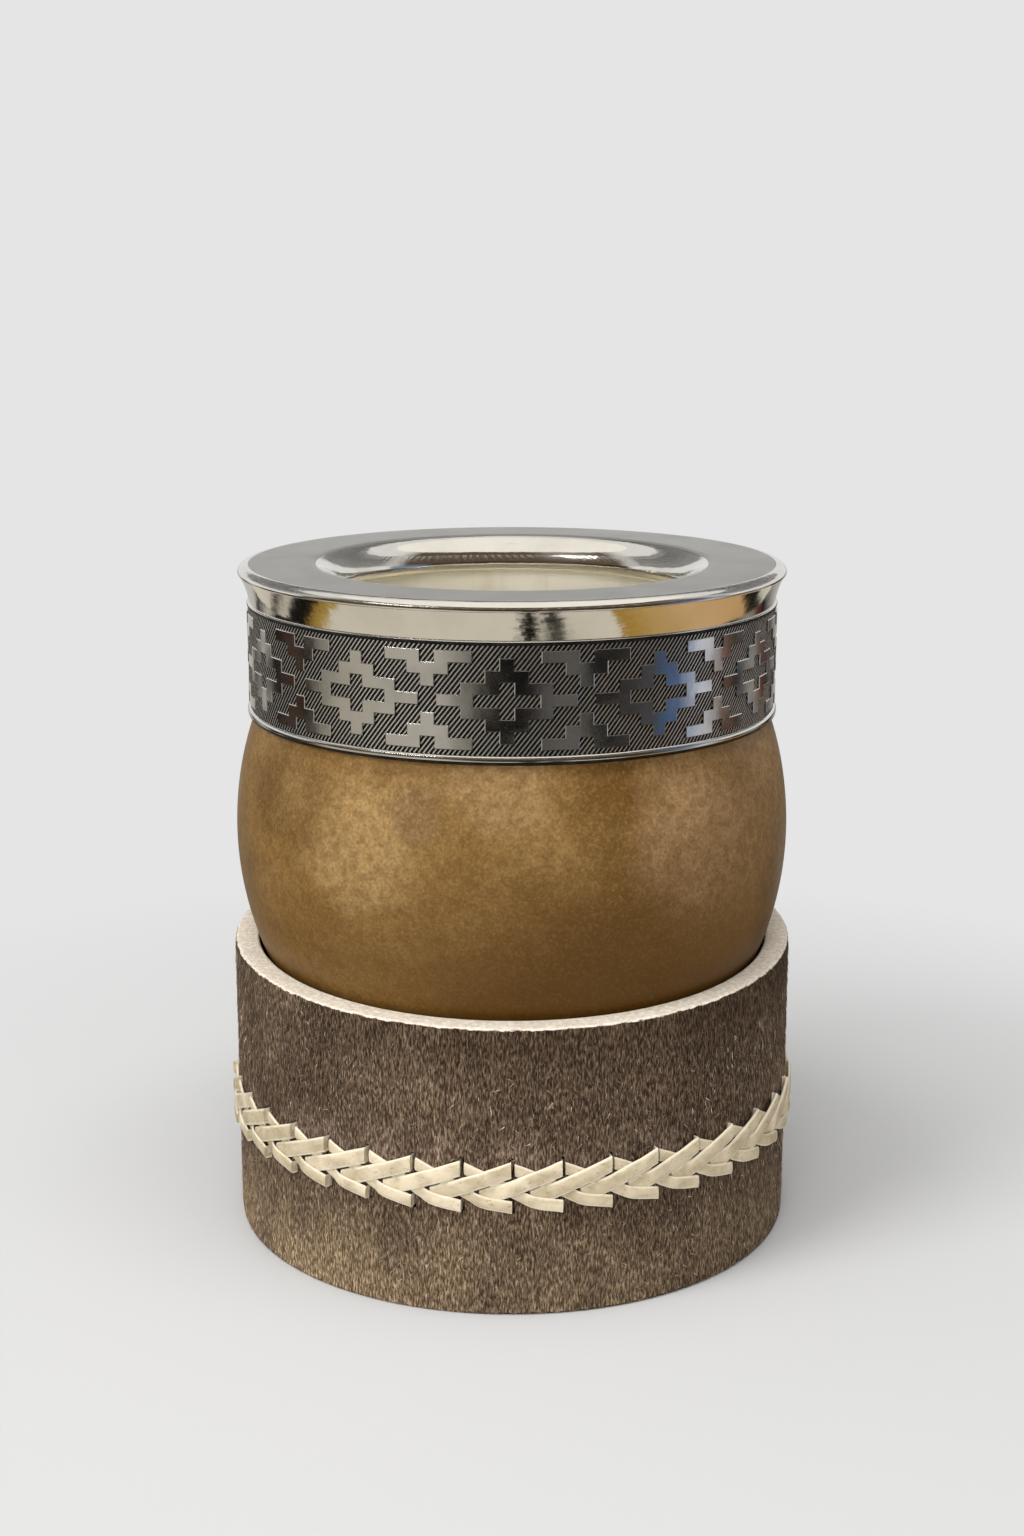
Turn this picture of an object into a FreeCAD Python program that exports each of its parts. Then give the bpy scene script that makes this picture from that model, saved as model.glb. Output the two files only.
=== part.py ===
import FreeCAD, Part
import math
import os

# An empty calabash mate cup with a flared metal collar, standing in a laced hide ring.
# Millimetres, +Z up. The origin is the centre of the hide ring's foot, on the table.

V = FreeCAD.Vector
AXIS = V(0, 0, 1)
CENTRE = V(0, 0, 0)

# ---- Hide ring that holds the gourd up ----
RING_HEIGHT = 48.1          # at its left and right sides
RING_TOP_SLOPE = 2.5        # degrees, the cut top edge climbs towards the back
RING_WALL = 3.9             # hide with its hair
RING_EDGE_ROUND = 0.5       # worn corners of the cut edges

# ---- Calabash gourd ----
BELLY_RADIUS = 45.3
BELLY_HALF_HEIGHT = 49.2    # the belly is an ellipse, taller than wide
GOURD_WALL = 4.5
MOUTH_WALL = 4.6            # wall of the straight neck inside the collar
SEAT_INSET = 3.2            # the ring's bore is this much narrower than the belly
SEAT_GAP = 0.1              # between the belly and the hide that carries it
SHOULDER = 0.2              # step that the collar band stands on

# ---- Engraved collar band ----
BAND_HEIGHT = 18.4
BAND_SHEET = 0.65
BAND_FIT = 0.1              # between the neck and the band
BAND_INSET = 3.55           # the band's bore is this much narrower than the belly
FOOT_BEAD_HEIGHT = 1.5
FOOT_BEAD_STANDS = 0.6
HEAD_BEAD_HEIGHT = 0.7
HEAD_BEAD_STANDS = 0.35

# ---- Stepped diamonds raised on the band ----
RELIEF = 0.38
RELIEF_ROOT = 0.25          # how deep a raised figure is let into the sheet
MOTIF_PITCH = 23.35         # along the band, from one diamond to the next
MOTIF_TURN = -1.0           # degrees, the front diamond stands a little to the left
STEM_HALF = 1.08
STEP_HALF = 3.2
BODY_HALF = 6.7
ARM_HALF = 10.3
HOLLOW_HALF = 4.84
FIELD_MARGIN = 0.75         # plain hatching above and below the figures
STEM_CLEAR = 1.0            # between the level of a diamond's arms and the tip of a stem
STEM_ROWS = 3               # a stem figure is three steps high

# ---- Flared rim ----
RIM_DEPTH = 5.8
RIM_OVERHANG = 1.7          # past the band
RIM_EDGE_FALL = 1.2         # height of the rounded outer edge
RIM_EDGE_RUN = 1.7          # width of the rounded outer edge
RIM_EDGE_BULGE = 0.3        # how full the edge's curve is, as a share of its run and fall
FLARE_HOLLOW = 0.35         # how far out the middle of the flare lies; 0.5 is straight
RIM_QUIRK = 0.25            # small groove under the rounded edge
THROAT_RADIUS = 28.0
LIP_RADIUS = 5.0
LIP_NOSE = 0.8              # rounded lower end of the lip
NECK_GAP = 0.3              # the neck ends this far under the rim

# ---- Rawhide lacing around the ring ----
STITCHES = 38
LACE_MIDDLE = 21.2          # height of the braid's centre line
LACE_RISE = 5.9             # from the lower row of slits to the upper one, centre to centre
STRAP_DEPTH = 2.8           # upright width of a strap
STRAP_THICKNESS = 0.5
STRAP_GAP = 0.05            # between a strap and the hide
STRIDE = 2                  # a strap reaches this many slits along
TOP_REACH = 0.62            # share of its way that a rising strap lies on top
SLIT_DEPTH = 2.2
SLIT_WIDTH = 0.8
SLIT_LENGTH = 3.1
TAB_GAP = 0.12              # around a strap's end in its slit
LAYER_BITE = 0.05           # an upper strap presses this far into the one below
CUT_PAST = 1.0              # cutting shapes run this far past what they cut

# ---- Sizes that follow ----
RING_BORE = BELLY_RADIUS - SEAT_INSET
RING_RADIUS = RING_BORE + RING_WALL
BAND_BORE = BELLY_RADIUS - BAND_INSET
BAND_RADIUS = BAND_BORE + BAND_SHEET
NECK_RADIUS = BAND_BORE - BAND_FIT
MOUTH_RADIUS = NECK_RADIUS - MOUTH_WALL
RIM_RADIUS = BAND_RADIUS + RIM_OVERHANG


def ellipse_height(radius, across, half_height):
    """Height above its middle at which an upright ellipse is this wide."""
    return half_height * math.sqrt(1 - (radius / across) ** 2)


BELLY_MIDDLE = RING_HEIGHT + ellipse_height(RING_BORE - SEAT_GAP, BELLY_RADIUS, BELLY_HALF_HEIGHT)
BAND_FOOT = BELLY_MIDDLE + ellipse_height(NECK_RADIUS + SHOULDER, BELLY_RADIUS, BELLY_HALF_HEIGHT)
BAND_HEAD = BAND_FOOT + BAND_HEIGHT
RIM_TOP = BAND_HEAD + RIM_DEPTH
FIELD_MIDDLE = BAND_FOOT + (BAND_HEIGHT + FOOT_BEAD_HEIGHT - HEAD_BEAD_HEIGHT) / 2
FIELD_HALF = (BAND_HEIGHT - FOOT_BEAD_HEIGHT - HEAD_BEAD_HEIGHT) / 2
MOTIF_ROW = (FIELD_HALF - FIELD_MARGIN - STEM_CLEAR) / (STEM_ROWS + 0.5)


def line(r0, z0, r1, z1):
    return Part.LineSegment(V(r0, 0, z0), V(r1, 0, z1)).toShape()


def arc(r0, z0, rm, zm, r1, z1):
    return Part.Arc(V(r0, 0, z0), V(rm, 0, zm), V(r1, 0, z1)).toShape()


def round_corner(cr, cz, radius, start, end):
    """A circular arc about (cr, cz) between two angles in degrees."""
    points = []
    for angle in (start, (start + end) / 2, end):
        points += [cr + radius * math.cos(math.radians(angle)), cz + radius * math.sin(math.radians(angle))]
    return arc(*points)


def revolve(edges):
    """Turn a closed outline in the XZ plane about the upright axis."""
    face = Part.Face(Part.Wire(Part.__sortEdges__(edges)))
    return face.revolve(CENTRE, AXIS, 360)


def tube(inner, outer, low, high):
    height = high - low
    return Part.makeCylinder(outer, height, V(0, 0, low)).cut(Part.makeCylinder(inner, height, V(0, 0, low)))


def turned(shape, degrees):
    copy = shape.copy()
    copy.rotate(CENTRE, AXIS, degrees)
    return copy


def belly_side(across, half_height, radius):
    """The side of an upright ellipse, from its bottom up to where it narrows to a radius."""
    middle = V(0, 0, BELLY_MIDDLE)
    up = V(0, 0, half_height)
    out = V(across, 0, 0)
    if half_height > across:
        ellipse = Part.Ellipse(middle + up, middle + out, middle)
        return Part.ArcOfEllipse(ellipse, math.asin(radius / across), math.pi).toShape()
    ellipse = Part.Ellipse(middle - out, middle - up, middle)
    side = Part.ArcOfEllipse(ellipse, math.pi / 2, math.pi + math.acos(radius / across)).toShape()
    return side.toNurbs().Edges[0]


def gourd():
    """Hollow calabash: an elliptical belly and a straight neck, open at the top."""
    inner_across = BELLY_RADIUS - GOURD_WALL
    inner_half = BELLY_HALF_HEIGHT - GOURD_WALL
    inner_top = BELLY_MIDDLE + ellipse_height(MOUTH_RADIUS, inner_across, inner_half)
    shoulder = NECK_RADIUS + SHOULDER
    neck_top = BAND_HEAD - NECK_GAP
    return revolve([
        belly_side(BELLY_RADIUS, BELLY_HALF_HEIGHT, shoulder),
        line(shoulder, BAND_FOOT, NECK_RADIUS, BAND_FOOT),
        line(NECK_RADIUS, BAND_FOOT, NECK_RADIUS, neck_top),
        line(NECK_RADIUS, neck_top, MOUTH_RADIUS, neck_top),
        line(MOUTH_RADIUS, neck_top, MOUTH_RADIUS, inner_top),
        belly_side(inner_across, inner_half, MOUTH_RADIUS),
        line(0, BELLY_MIDDLE - inner_half, 0, BELLY_MIDDLE - BELLY_HALF_HEIGHT),
    ])


def belly_envelope():
    """The belly with its seating gap, as the hide shapes itself to it."""
    across = BELLY_RADIUS + SEAT_GAP
    half = BELLY_HALF_HEIGHT + SEAT_GAP
    side = belly_side(across, half, across)
    return revolve([
        side,
        line(across, BELLY_MIDDLE, 0, BELLY_MIDDLE),
        line(0, BELLY_MIDDLE, 0, BELLY_MIDDLE - half),
    ])


def outline_prism(points, near, far):
    """A figure drawn on the band's flat tangent plane at the front, pushed through the wall."""
    corners = [V(x, -near, z) for x, z in points]
    face = Part.Face(Part.makePolygon(corners + corners[:1]))
    return face.extrude(V(0, near - far, 0))


def stepped_outline(half_widths):
    """A figure of equal rows about the middle of the field, the same left and right, from its widths."""
    top = FIELD_MIDDLE + MOTIF_ROW * len(half_widths) / 2
    right = []
    for row, half in enumerate(half_widths):
        right += [(half, top - MOTIF_ROW * row), (half, top - MOTIF_ROW * (row + 1))]
    return right + [(-x, z) for x, z in reversed(right)]


def wrap(points, low, high, radius):
    """A drawn figure as a curved plate of the wall, from low inside a radius to high outside it."""
    plate = tube(radius - low, radius + high, 0, RIM_TOP)
    return outline_prism(points, radius + high + CUT_PAST, radius / 2).common(plate)


def diamond_plate():
    """A stepped diamond, one step wide, with an arm each side and a cross-shaped hollow."""
    widths = [STEM_HALF, STEP_HALF, BODY_HALF, ARM_HALF, BODY_HALF, STEP_HALF, STEM_HALF]
    outer = wrap(stepped_outline(widths), RELIEF_ROOT, RELIEF, BAND_RADIUS)
    hollow = stepped_outline([STEM_HALF, HOLLOW_HALF, STEM_HALF])
    return outer.cut(outline_prism(hollow, BAND_RADIUS + RELIEF + CUT_PAST, BAND_RADIUS / 2))


def stem_plate(up):
    """Two bars that step inwards to a stem, pointing down from the top (up=1) or up from the foot (up=-1)."""
    tip = FIELD_MIDDLE + up * (MOTIF_ROW / 2 + STEM_CLEAR)
    knee = tip + up * MOTIF_ROW
    shoulder = knee + up * MOTIF_ROW
    crown = shoulder + up * MOTIF_ROW
    right = [(STEM_HALF, tip), (STEM_HALF, knee), (STEP_HALF, knee), (STEP_HALF, shoulder),
             (BODY_HALF, shoulder), (BODY_HALF, crown), (STEM_HALF, crown), (STEM_HALF, shoulder)]
    left = [(-x, z) for x, z in reversed(right)]
    return wrap(right + left, RELIEF_ROOT, RELIEF, BAND_RADIUS)


def band():
    """Sheet sleeve with a bead at its foot and head, and the raised figures all round."""
    bead = BAND_RADIUS + FOOT_BEAD_STANDS
    bead_top = BAND_FOOT + FOOT_BEAD_HEIGHT
    head = BAND_RADIUS + HEAD_BEAD_STANDS
    head_low = BAND_HEAD - HEAD_BEAD_HEIGHT
    sleeve = revolve([
        line(BAND_BORE, BAND_FOOT, BAND_RADIUS, BAND_FOOT),
        arc(BAND_RADIUS, BAND_FOOT, bead, (BAND_FOOT + bead_top) / 2, BAND_RADIUS, bead_top),
        line(BAND_RADIUS, bead_top, BAND_RADIUS, head_low),
        arc(BAND_RADIUS, head_low, head, (BAND_HEAD + head_low) / 2, BAND_RADIUS, BAND_HEAD),
        line(BAND_RADIUS, BAND_HEAD, BAND_BORE, BAND_HEAD),
        line(BAND_BORE, BAND_HEAD, BAND_BORE, BAND_FOOT),
    ])
    diamond = diamond_plate()
    stems = [stem_plate(1), stem_plate(-1)]
    count = int(2 * math.pi * BAND_RADIUS / MOTIF_PITCH)
    pitch = math.degrees(MOTIF_PITCH / BAND_RADIUS)
    first = MOTIF_TURN - pitch * (count - 1) / 2
    plates = [turned(diamond, first + pitch * place) for place in range(count)]
    spaces = [first + pitch * (place + 0.5) for place in range(count - 1)]
    spaces.append(first - (360 - pitch * (count - 1)) / 2)
    plates += [turned(stem, angle) for angle in spaces for stem in stems]
    return sleeve.multiFuse(plates)


def rim():
    """Flat-topped rim: a rounded edge, a hollow flare under it and a lip rolled into the throat."""
    flat_outer = RIM_RADIUS - RIM_EDGE_RUN
    flat_inner = THROAT_RADIUS + LIP_RADIUS
    edge_low = RIM_TOP - RIM_EDGE_FALL
    flare_top = RIM_RADIUS - RIM_QUIRK
    flare_high = edge_low - RIM_QUIRK
    nose = THROAT_RADIUS + LIP_NOSE
    lip_low = RIM_TOP - LIP_RADIUS
    flare_mid = BAND_RADIUS + FLARE_HOLLOW * (flare_top - BAND_RADIUS)
    edge_out = RIM_RADIUS - RIM_EDGE_BULGE * RIM_EDGE_RUN
    edge_down = RIM_TOP - RIM_EDGE_BULGE * RIM_EDGE_FALL
    return revolve([
        line(flat_inner, RIM_TOP, flat_outer, RIM_TOP),
        arc(flat_outer, RIM_TOP, edge_out, edge_down, RIM_RADIUS, edge_low),
        line(RIM_RADIUS, edge_low, flare_top, flare_high),
        arc(flare_top, flare_high, flare_mid, (flare_high + BAND_HEAD) / 2, BAND_RADIUS, BAND_HEAD),
        line(BAND_RADIUS, BAND_HEAD, nose, BAND_HEAD),
        line(nose, BAND_HEAD, THROAT_RADIUS, lip_low),
        round_corner(THROAT_RADIUS + LIP_RADIUS, lip_low, LIP_RADIUS, 180, 90),
    ])


def slanted_top():
    """A block that holds everything above the ring's slanting cut edge."""
    size = 4 * RING_RADIUS
    block = Part.makeBox(size, size, size, V(-size / 2, -size / 2, RING_HEIGHT))
    block.rotate(V(0, 0, RING_HEIGHT), V(1, 0, 0), RING_TOP_SLOPE)
    return block


def slit_rows():
    upper = LACE_MIDDLE + LACE_RISE / 2
    lower = LACE_MIDDLE - LACE_RISE / 2
    return [lower, upper]


def radial_block(thickness, inner, outer, middle, height):
    """A thin upright block at the front of the ring, standing along a radius."""
    return Part.makeBox(thickness, outer - inner, height, V(-thickness / 2, -outer, middle - height / 2))


def ring():
    """Hide ring with a slanting top edge, shaped to the belly at its mouth, slit for the lacing."""
    blank_top = RING_HEIGHT + RING_RADIUS * math.tan(math.radians(RING_TOP_SLOPE)) + CUT_PAST
    wall = tube(RING_BORE, RING_RADIUS, 0, blank_top).cut(slanted_top())
    rims = [edge for edge in wall.Edges if len(edge.Vertexes) == 1]
    wall = wall.makeFillet(RING_EDGE_ROUND, [edge for edge in rims if edge.BoundBox.ZMin > RING_HEIGHT / 2])
    foot = [edge for edge in wall.Edges
            if edge.BoundBox.ZMax < RING_EDGE_ROUND and edge.BoundBox.XMax > RING_BORE + RING_WALL / 2]
    wall = wall.makeFillet(RING_EDGE_ROUND, foot)
    wall = wall.cut(belly_envelope())
    slits = []
    for row in slit_rows():
        slit = radial_block(SLIT_WIDTH, RING_RADIUS - SLIT_DEPTH, RING_RADIUS + CUT_PAST, row, SLIT_LENGTH)
        slits += [turned(slit, 360 * stitch / STITCHES) for stitch in range(STITCHES)]
    return wall.cut(Part.makeCompound(slits))


def strap(run_from, run_to, rise_from, rise_to, layer):
    """A strap laid flat on the ring: an upright-ended parallelogram, wrapped in one of two layers."""
    inner = RING_RADIUS + STRAP_GAP + layer * STRAP_THICKNESS
    half = STRAP_DEPTH / 2
    middle = (run_from + run_to) / 2
    points = [(run_from - middle, rise_from - half), (run_to - middle, rise_to - half),
              (run_to - middle, rise_to + half), (run_from - middle, rise_from + half)]
    plate = wrap(points, LAYER_BITE * layer, STRAP_THICKNESS, inner)
    return turned(plate, math.degrees(middle / inner))


def stitch():
    """One stitch: a falling strap, a rising strap over it and their ends in the two slits."""
    lower, upper = slit_rows()
    pitch = 2 * math.pi * RING_RADIUS / STITCHES
    reach = STRIDE * pitch
    falling = strap(-reach, 0, upper, lower, 0)
    rising = strap(-reach * TOP_REACH, 0, upper - (upper - lower) * TOP_REACH, upper, 1)
    thickness = SLIT_WIDTH - 2 * TAB_GAP
    tip = RING_RADIUS - SLIT_DEPTH + TAB_GAP
    tabs = []
    for row, layers in ((lower, 1), (upper, 2)):
        outer = RING_RADIUS + STRAP_GAP + layers * STRAP_THICKNESS
        tabs.append(radial_block(thickness, tip, outer, row, STRAP_DEPTH))
    return falling.multiFuse([rising] + tabs)


def lace():
    one = stitch()
    return one.multiFuse([turned(one, 360 * place / STITCHES) for place in range(1, STITCHES)])


def write(node, shape):
    shape.exportStep("parts/" + node + ".step")


os.makedirs("parts", exist_ok=True)
write("gourd", gourd())
write("band", band())
write("rim", rim())
write("hide_ring", ring())
write("lace", lace())
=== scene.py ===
import math

import bmesh
import bpy
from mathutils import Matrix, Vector

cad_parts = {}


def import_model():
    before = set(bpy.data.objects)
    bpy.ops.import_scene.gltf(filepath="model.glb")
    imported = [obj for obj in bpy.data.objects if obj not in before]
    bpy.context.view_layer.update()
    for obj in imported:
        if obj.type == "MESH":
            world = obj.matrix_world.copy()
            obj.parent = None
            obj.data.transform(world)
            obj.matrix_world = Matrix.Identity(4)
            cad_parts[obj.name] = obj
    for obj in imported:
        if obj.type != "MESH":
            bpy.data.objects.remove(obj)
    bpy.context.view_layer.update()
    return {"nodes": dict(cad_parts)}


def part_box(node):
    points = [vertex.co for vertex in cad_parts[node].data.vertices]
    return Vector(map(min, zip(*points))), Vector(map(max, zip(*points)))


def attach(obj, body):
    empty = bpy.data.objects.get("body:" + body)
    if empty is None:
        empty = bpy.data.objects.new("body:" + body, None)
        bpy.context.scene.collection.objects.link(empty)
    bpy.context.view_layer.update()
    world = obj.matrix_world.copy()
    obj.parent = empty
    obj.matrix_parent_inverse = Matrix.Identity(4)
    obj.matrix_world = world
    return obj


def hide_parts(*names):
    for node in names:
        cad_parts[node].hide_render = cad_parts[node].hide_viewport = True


# An empty calabash mate cup with a flared metal collar, standing in a laced ring of hair-on hide.
# Metres, +Z up. Angles about the upright axis are measured from the front (-Y) towards +X.

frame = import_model()

MM = 0.001
TURN = 2 * math.pi

# ---- Sizes read from the frame ----
gourd_low, gourd_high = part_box("gourd")
band_low, band_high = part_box("band")
rim_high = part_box("rim")[1]
ring_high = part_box("hide_ring")[1]
lace_low, lace_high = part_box("lace")

BELLY_RADIUS = gourd_high[0]
GOURD_FOOT = gourd_low[2]
NECK_TOP = gourd_high[2]
BAND_FOOT = band_low[2]
BAND_HEAD = band_high[2]
RIM_RADIUS = rim_high[0]
RIM_TOP = rim_high[2]
RING_RADIUS = ring_high[0]
RING_TOP_BACK = ring_high[2]

# ---- Gourd ----
BELLY_HALF_HEIGHT = 49.2 * MM
BELLY_MIDDLE = GOURD_FOOT + BELLY_HALF_HEIGHT
GOURD_WALL = 4.5 * MM
NECK_RADIUS = 41.65 * MM
MOUTH_WALL = 4.6 * MM
MOUTH_ROUND = 0.8 * MM
SHOULDER = 0.2 * MM
SKIN_UNEVEN = 0.12 * MM
SKIN_FADE = 12 * MM              # height below the band over which the skin becomes uneven

# ---- Collar band ----
FOOT_BEAD_HEIGHT = 1.5 * MM
FOOT_BEAD_STANDS = 0.6 * MM
HEAD_BEAD_HEIGHT = 0.7 * MM
HEAD_BEAD_STANDS = 0.35 * MM
BEAD_SHADE_FACETS = 8                    # facets of a bead, from below, with the dark ground's finish as painted shade
BAND_SHEET = 0.65 * MM
BAND_RADIUS = band_high[0] - FOOT_BEAD_STANDS
BAND_BORE = BAND_RADIUS - BAND_SHEET
FIELD_LOW = BAND_FOOT + FOOT_BEAD_HEIGHT
FIELD_HIGH = BAND_HEAD - HEAD_BEAD_HEIGHT
FIELD_MIDDLE = (FIELD_LOW + FIELD_HIGH) / 2

# ---- Stepped figures on the band ----
RELIEF = 0.38 * MM
FIGURE_SHOULDER = 0.2 * MM       # height at which a figure's upright side ends
FIGURE_BREAK = 0.33 * MM         # height between the two facets of its rounded edge
FIGURE_ROOT = 0.2 * MM
EDGE_FACET = 0.11 * MM
LOOKS_OUT = 0.2                  # outward part of a normal above which a face isn't an upright side
WELD = 0.004 * MM
MOTIF_PITCH = 23.35 * MM
MOTIF_TURN = math.radians(-1.0)
STEM_HALF = 1.08 * MM
STEP_HALF = 3.2 * MM
HOLLOW_HALF = 4.84 * MM
BODY_HALF = 6.7 * MM
ARM_HALF = 10.3 * MM
FIELD_MARGIN = 0.75 * MM
STEM_CLEAR = 1.0 * MM
STEM_ROWS = 3
MOTIF_ROW = ((FIELD_HIGH - FIELD_LOW) / 2 - FIELD_MARGIN - STEM_CLEAR) / (STEM_ROWS + 0.5)

# ---- Hatching cut into the band's ground ----
HATCH_PITCH = 0.73 * MM          # along the band
HATCH_LEAN = math.radians(52)    # from the level
HATCH_FOOT = 0.44 * MM           # width of a ridge along the band
HATCH_CREST = 0.24 * MM
HATCH_HEIGHT = 0.14 * MM
HATCH_ROOT = 0.05 * MM
HATCH_STEPS = 8
HATCH_UNEVEN = 0.06 * MM

# ---- Flared rim ----
RIM_EDGE_FALL = 1.2 * MM
RIM_EDGE_RUN = 1.7 * MM
RIM_QUIRK = 0.25 * MM
QUIRK_ACROSS = 0.45 * MM
QUIRK_RISE = 0.3 * MM
QUIRK_DROP = 0.02 * MM
FLARE_STEPS = 16
FLARE_HOLLOW = 0.35
THROAT_RADIUS = 28.0 * MM
LIP_RADIUS = 5.0 * MM
LIP_NOSE = 0.8 * MM
LIP_SATIN = 5                    # facets of the lip that keep the flat's satin finish
FLAT_BREAK = 0.12 * MM           # crisp line between the flat and its rounded neighbours

# ---- Rawhide lacing ----
STITCHES = 38
LACE_MIDDLE = (lace_low[2] + lace_high[2]) / 2
LACE_RISE = 5.9 * MM
STRAP_DEPTH = 2.6 * MM
STRAP_THICKNESS = 0.44 * MM
STRAP_CROWN = 0.07 * MM
STRAP_SOFT = 0.16 * MM           # softness of a strap's edges
STRAP_HANG = 0.3                 # share of its missing depth by which a narrow strap sits lower
SAG_START = 0.3
SAG_SHAPE = 1.3
STRIDE = 2
UNDER_LAYER = 0.12 * MM
OVER_LAYER = 0.62 * MM
CROSSING = 0.625                 # share of the way at which a strap changes layer
CROSSING_HALF = 0.045
FALLING_DEPTH = 2.0 * MM         # a falling strap shows narrower, pulled edge-on
FALLING_BOW = 0.85 * MM
HIDDEN_END = 0.82                # a rising strap ends under the next falling one
SLIT_GAP = 0.42 * MM             # how far the two straps in a slit stand apart
RISING_GAP = 0.3                 # a rising strap's share of that gap
SHIFT_STEPS = 5                  # steps over which a strap leaves its place in the slit
SLIT_REACH = 1.5 * MM            # how deep a strap's end goes into its slit
SLIT_EDGE = 0.25 * MM
END_THICK = 0.35                 # thickness and depth of a strap's end in its slit, as shares
END_NARROW = 0.97
STRAP_STEPS = 22
STRAP_UNEVEN = 0.22 * MM

# ---- Hair on the hide ----
RING_TOP_SLOPE = math.radians(2.5)
RING_MIDDLE_TOP = RING_TOP_BACK - RING_RADIUS * math.tan(RING_TOP_SLOPE)
RING_BORE = 42.1 * MM
HAIR_LENGTH = 2.0 * MM
STRAY_LENGTH = 1.2 * MM
HAIR_THICKNESS = 0.12 * MM
HAIRS = 19000                    # strands in each hair piece
HAIR_SIZES = (0.45, 1.15)
LIFT_RANGE = (0.2, 1.0)
PRESSED_FLAT = 0.85              # how far the lacing presses the hair under it flat
PRESS_MARGIN = 0.5 * MM
TUFT_SCALE = 1100.0
HAIR_AREA = TURN * RING_RADIUS * RING_MIDDLE_TOP

BED_STEPS = 12
BED_TURNS = 96
BED_INSET = 0.04 * MM
BED_CLEAR = 0.1 * MM             # from the floor to the longest hair's tip
BED_UNDER_EDGE = 0.2 * MM

TURNS = 256                      # facets round a turned piece
CREASE = 35                      # degrees from which an edge stays sharp
FIGURE_CREASE = 12
RIDGE_CREASE = 20
LACE_CREASE = 50


# ---- Looks ----
def tone(red, green, blue):
    """A colour given as it looks on a screen, 0 to 255, made linear."""
    def linear(value):
        share = value / 255
        return share / 12.92 if share <= 0.04045 else ((share + 0.055) / 1.055) ** 2.4
    return (linear(red), linear(green), linear(blue), 1.0)


# Mottled patterns: scale, low, high, detail, upright stretch, shift.
PATTERNS = {
    "rind broad": (30.0, 0.36, 0.62, 4.0, 1.0, 0.0),
    "rind olive": (48.0, 0.46, 0.7, 5.0, 1.0, 3.1),
    "rind pale": (64.0, 0.5, 0.72, 6.0, 0.8, 7.7),
    "rind grain": (2300.0, 0.3, 0.7, 3.0, 1.0, 1.3),
    "rind mealy": (620.0, 0.42, 0.6, 6.0, 1.0, 4.4),
    "rind fleck": (1700.0, 0.5, 0.75, 3.0, 1.0, 9.2),
    "rind gloss": (60.0, 0.3, 0.7, 4.0, 1.0, 0.0),
    "pith": (60.0, 0.35, 0.65, 4.0, 1.0, 0.0),
    "pith streaks": (300.0, 0.5, 0.7, 4.0, 4.0, 2.2),
    "soot": (500.0, 0.4, 0.7, 4.0, 1.0, 0.0),
    "hide patches": (55.0, 0.4, 0.62, 5.0, 1.4, 5.0),
    "hide scuffs": (100.0, 0.26, 0.6, 5.0, 1.6, 8.0),
    "hide by lace": (120.0, 0.42, 0.6, 5.0, 1.0, 11.0),
    "hide streaks": (4000.0, 0.34, 0.66, 3.0, 4.0, 0.0),
    "cut ragged": (900.0, 0.3, 0.7, 3.0, 0.4, 4.0),
    "cut fibres": (1300.0, 0.4, 0.66, 5.0, 0.35, 0.0),
    "suede": (300.0, 0.4, 0.6, 4.0, 1.0, 0.0),
    "lace stains": (300.0, 0.42, 0.66, 5.0, 0.8, 2.0),
    "lace specks": (1500.0, 0.6, 0.72, 3.0, 0.6, 6.0),
    "lace edge": (900.0, 0.3, 0.7, 4.0, 1.0, 0.0),
    "lace fibres": (700.0, 0.3, 0.7, 4.0, 0.7, 0.0),
}

# Clouds and stains on the rind: centre and radius in millimetres, strength, colour. The pale first and third
# clouds, high on the front left and front right, are painted light.
CLOUDS = [
    ((-23.6, -38.0, 72.0), 14.0, 0.75, tone(178, 146, 96)),
    ((0.0, -44.0, 81.0), 9.0, 0.55, tone(160, 130, 90)),
    ((27.0, -35.0, 72.0), 14.0, 0.7, tone(170, 136, 98)),
    ((-34.0, -29.0, 79.0), 13.0, 0.85, tone(102, 76, 38)),
    ((12.0, -43.0, 59.0), 9.0, 0.45, tone(94, 66, 28)),
    ((-14.5, -42.5, 77.0), 5.4, 0.5, tone(112, 92, 68)),
    ((11.0, -43.0, 79.0), 0.9, 0.7, tone(76, 54, 30)),
]
CLOUD_SCALE = 90.0
CLOUD_RAGGED = 1.4               # how far a cloud's bound wanders, in its radius
CLOUD_CORE = 0.55                # share of the radius that is fully stained

# Darkest and lightest hair on parts of the hide: painted shade under the cut edge, pale patches partly
# painted light, scuffs at the foot and lighter hair by the lace.
UNDER_EDGE_SHADE_PAIR = (tone(22, 15, 9), tone(92, 70, 50))
PALE_AND_LIT_PAIR = (tone(62, 46, 32), tone(184, 158, 130))
SCUFFED_PAIR = (tone(88, 68, 46), tone(202, 178, 144))
BY_LACE_PAIR = (tone(96, 74, 60), tone(204, 182, 160))

DOWNWARD = (-0.08, -0.4)         # upright part of the normal, from clean metal to black: tarnish and painted shade
ASIDE = (0.95, 0.8)              # outward part of the normal, from clean metal to black
CUT_EDGE = (0.42 * MM, 0.28 * MM)
LACE_PALE_EDGE = (0.74, 1.02)    # share of a strap's half depth


# ---- Nodes ----
def socket(sockets, name):
    """The socket in use that has this name."""
    return next(one for one in sockets if one.name == name and one.enabled)


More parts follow.
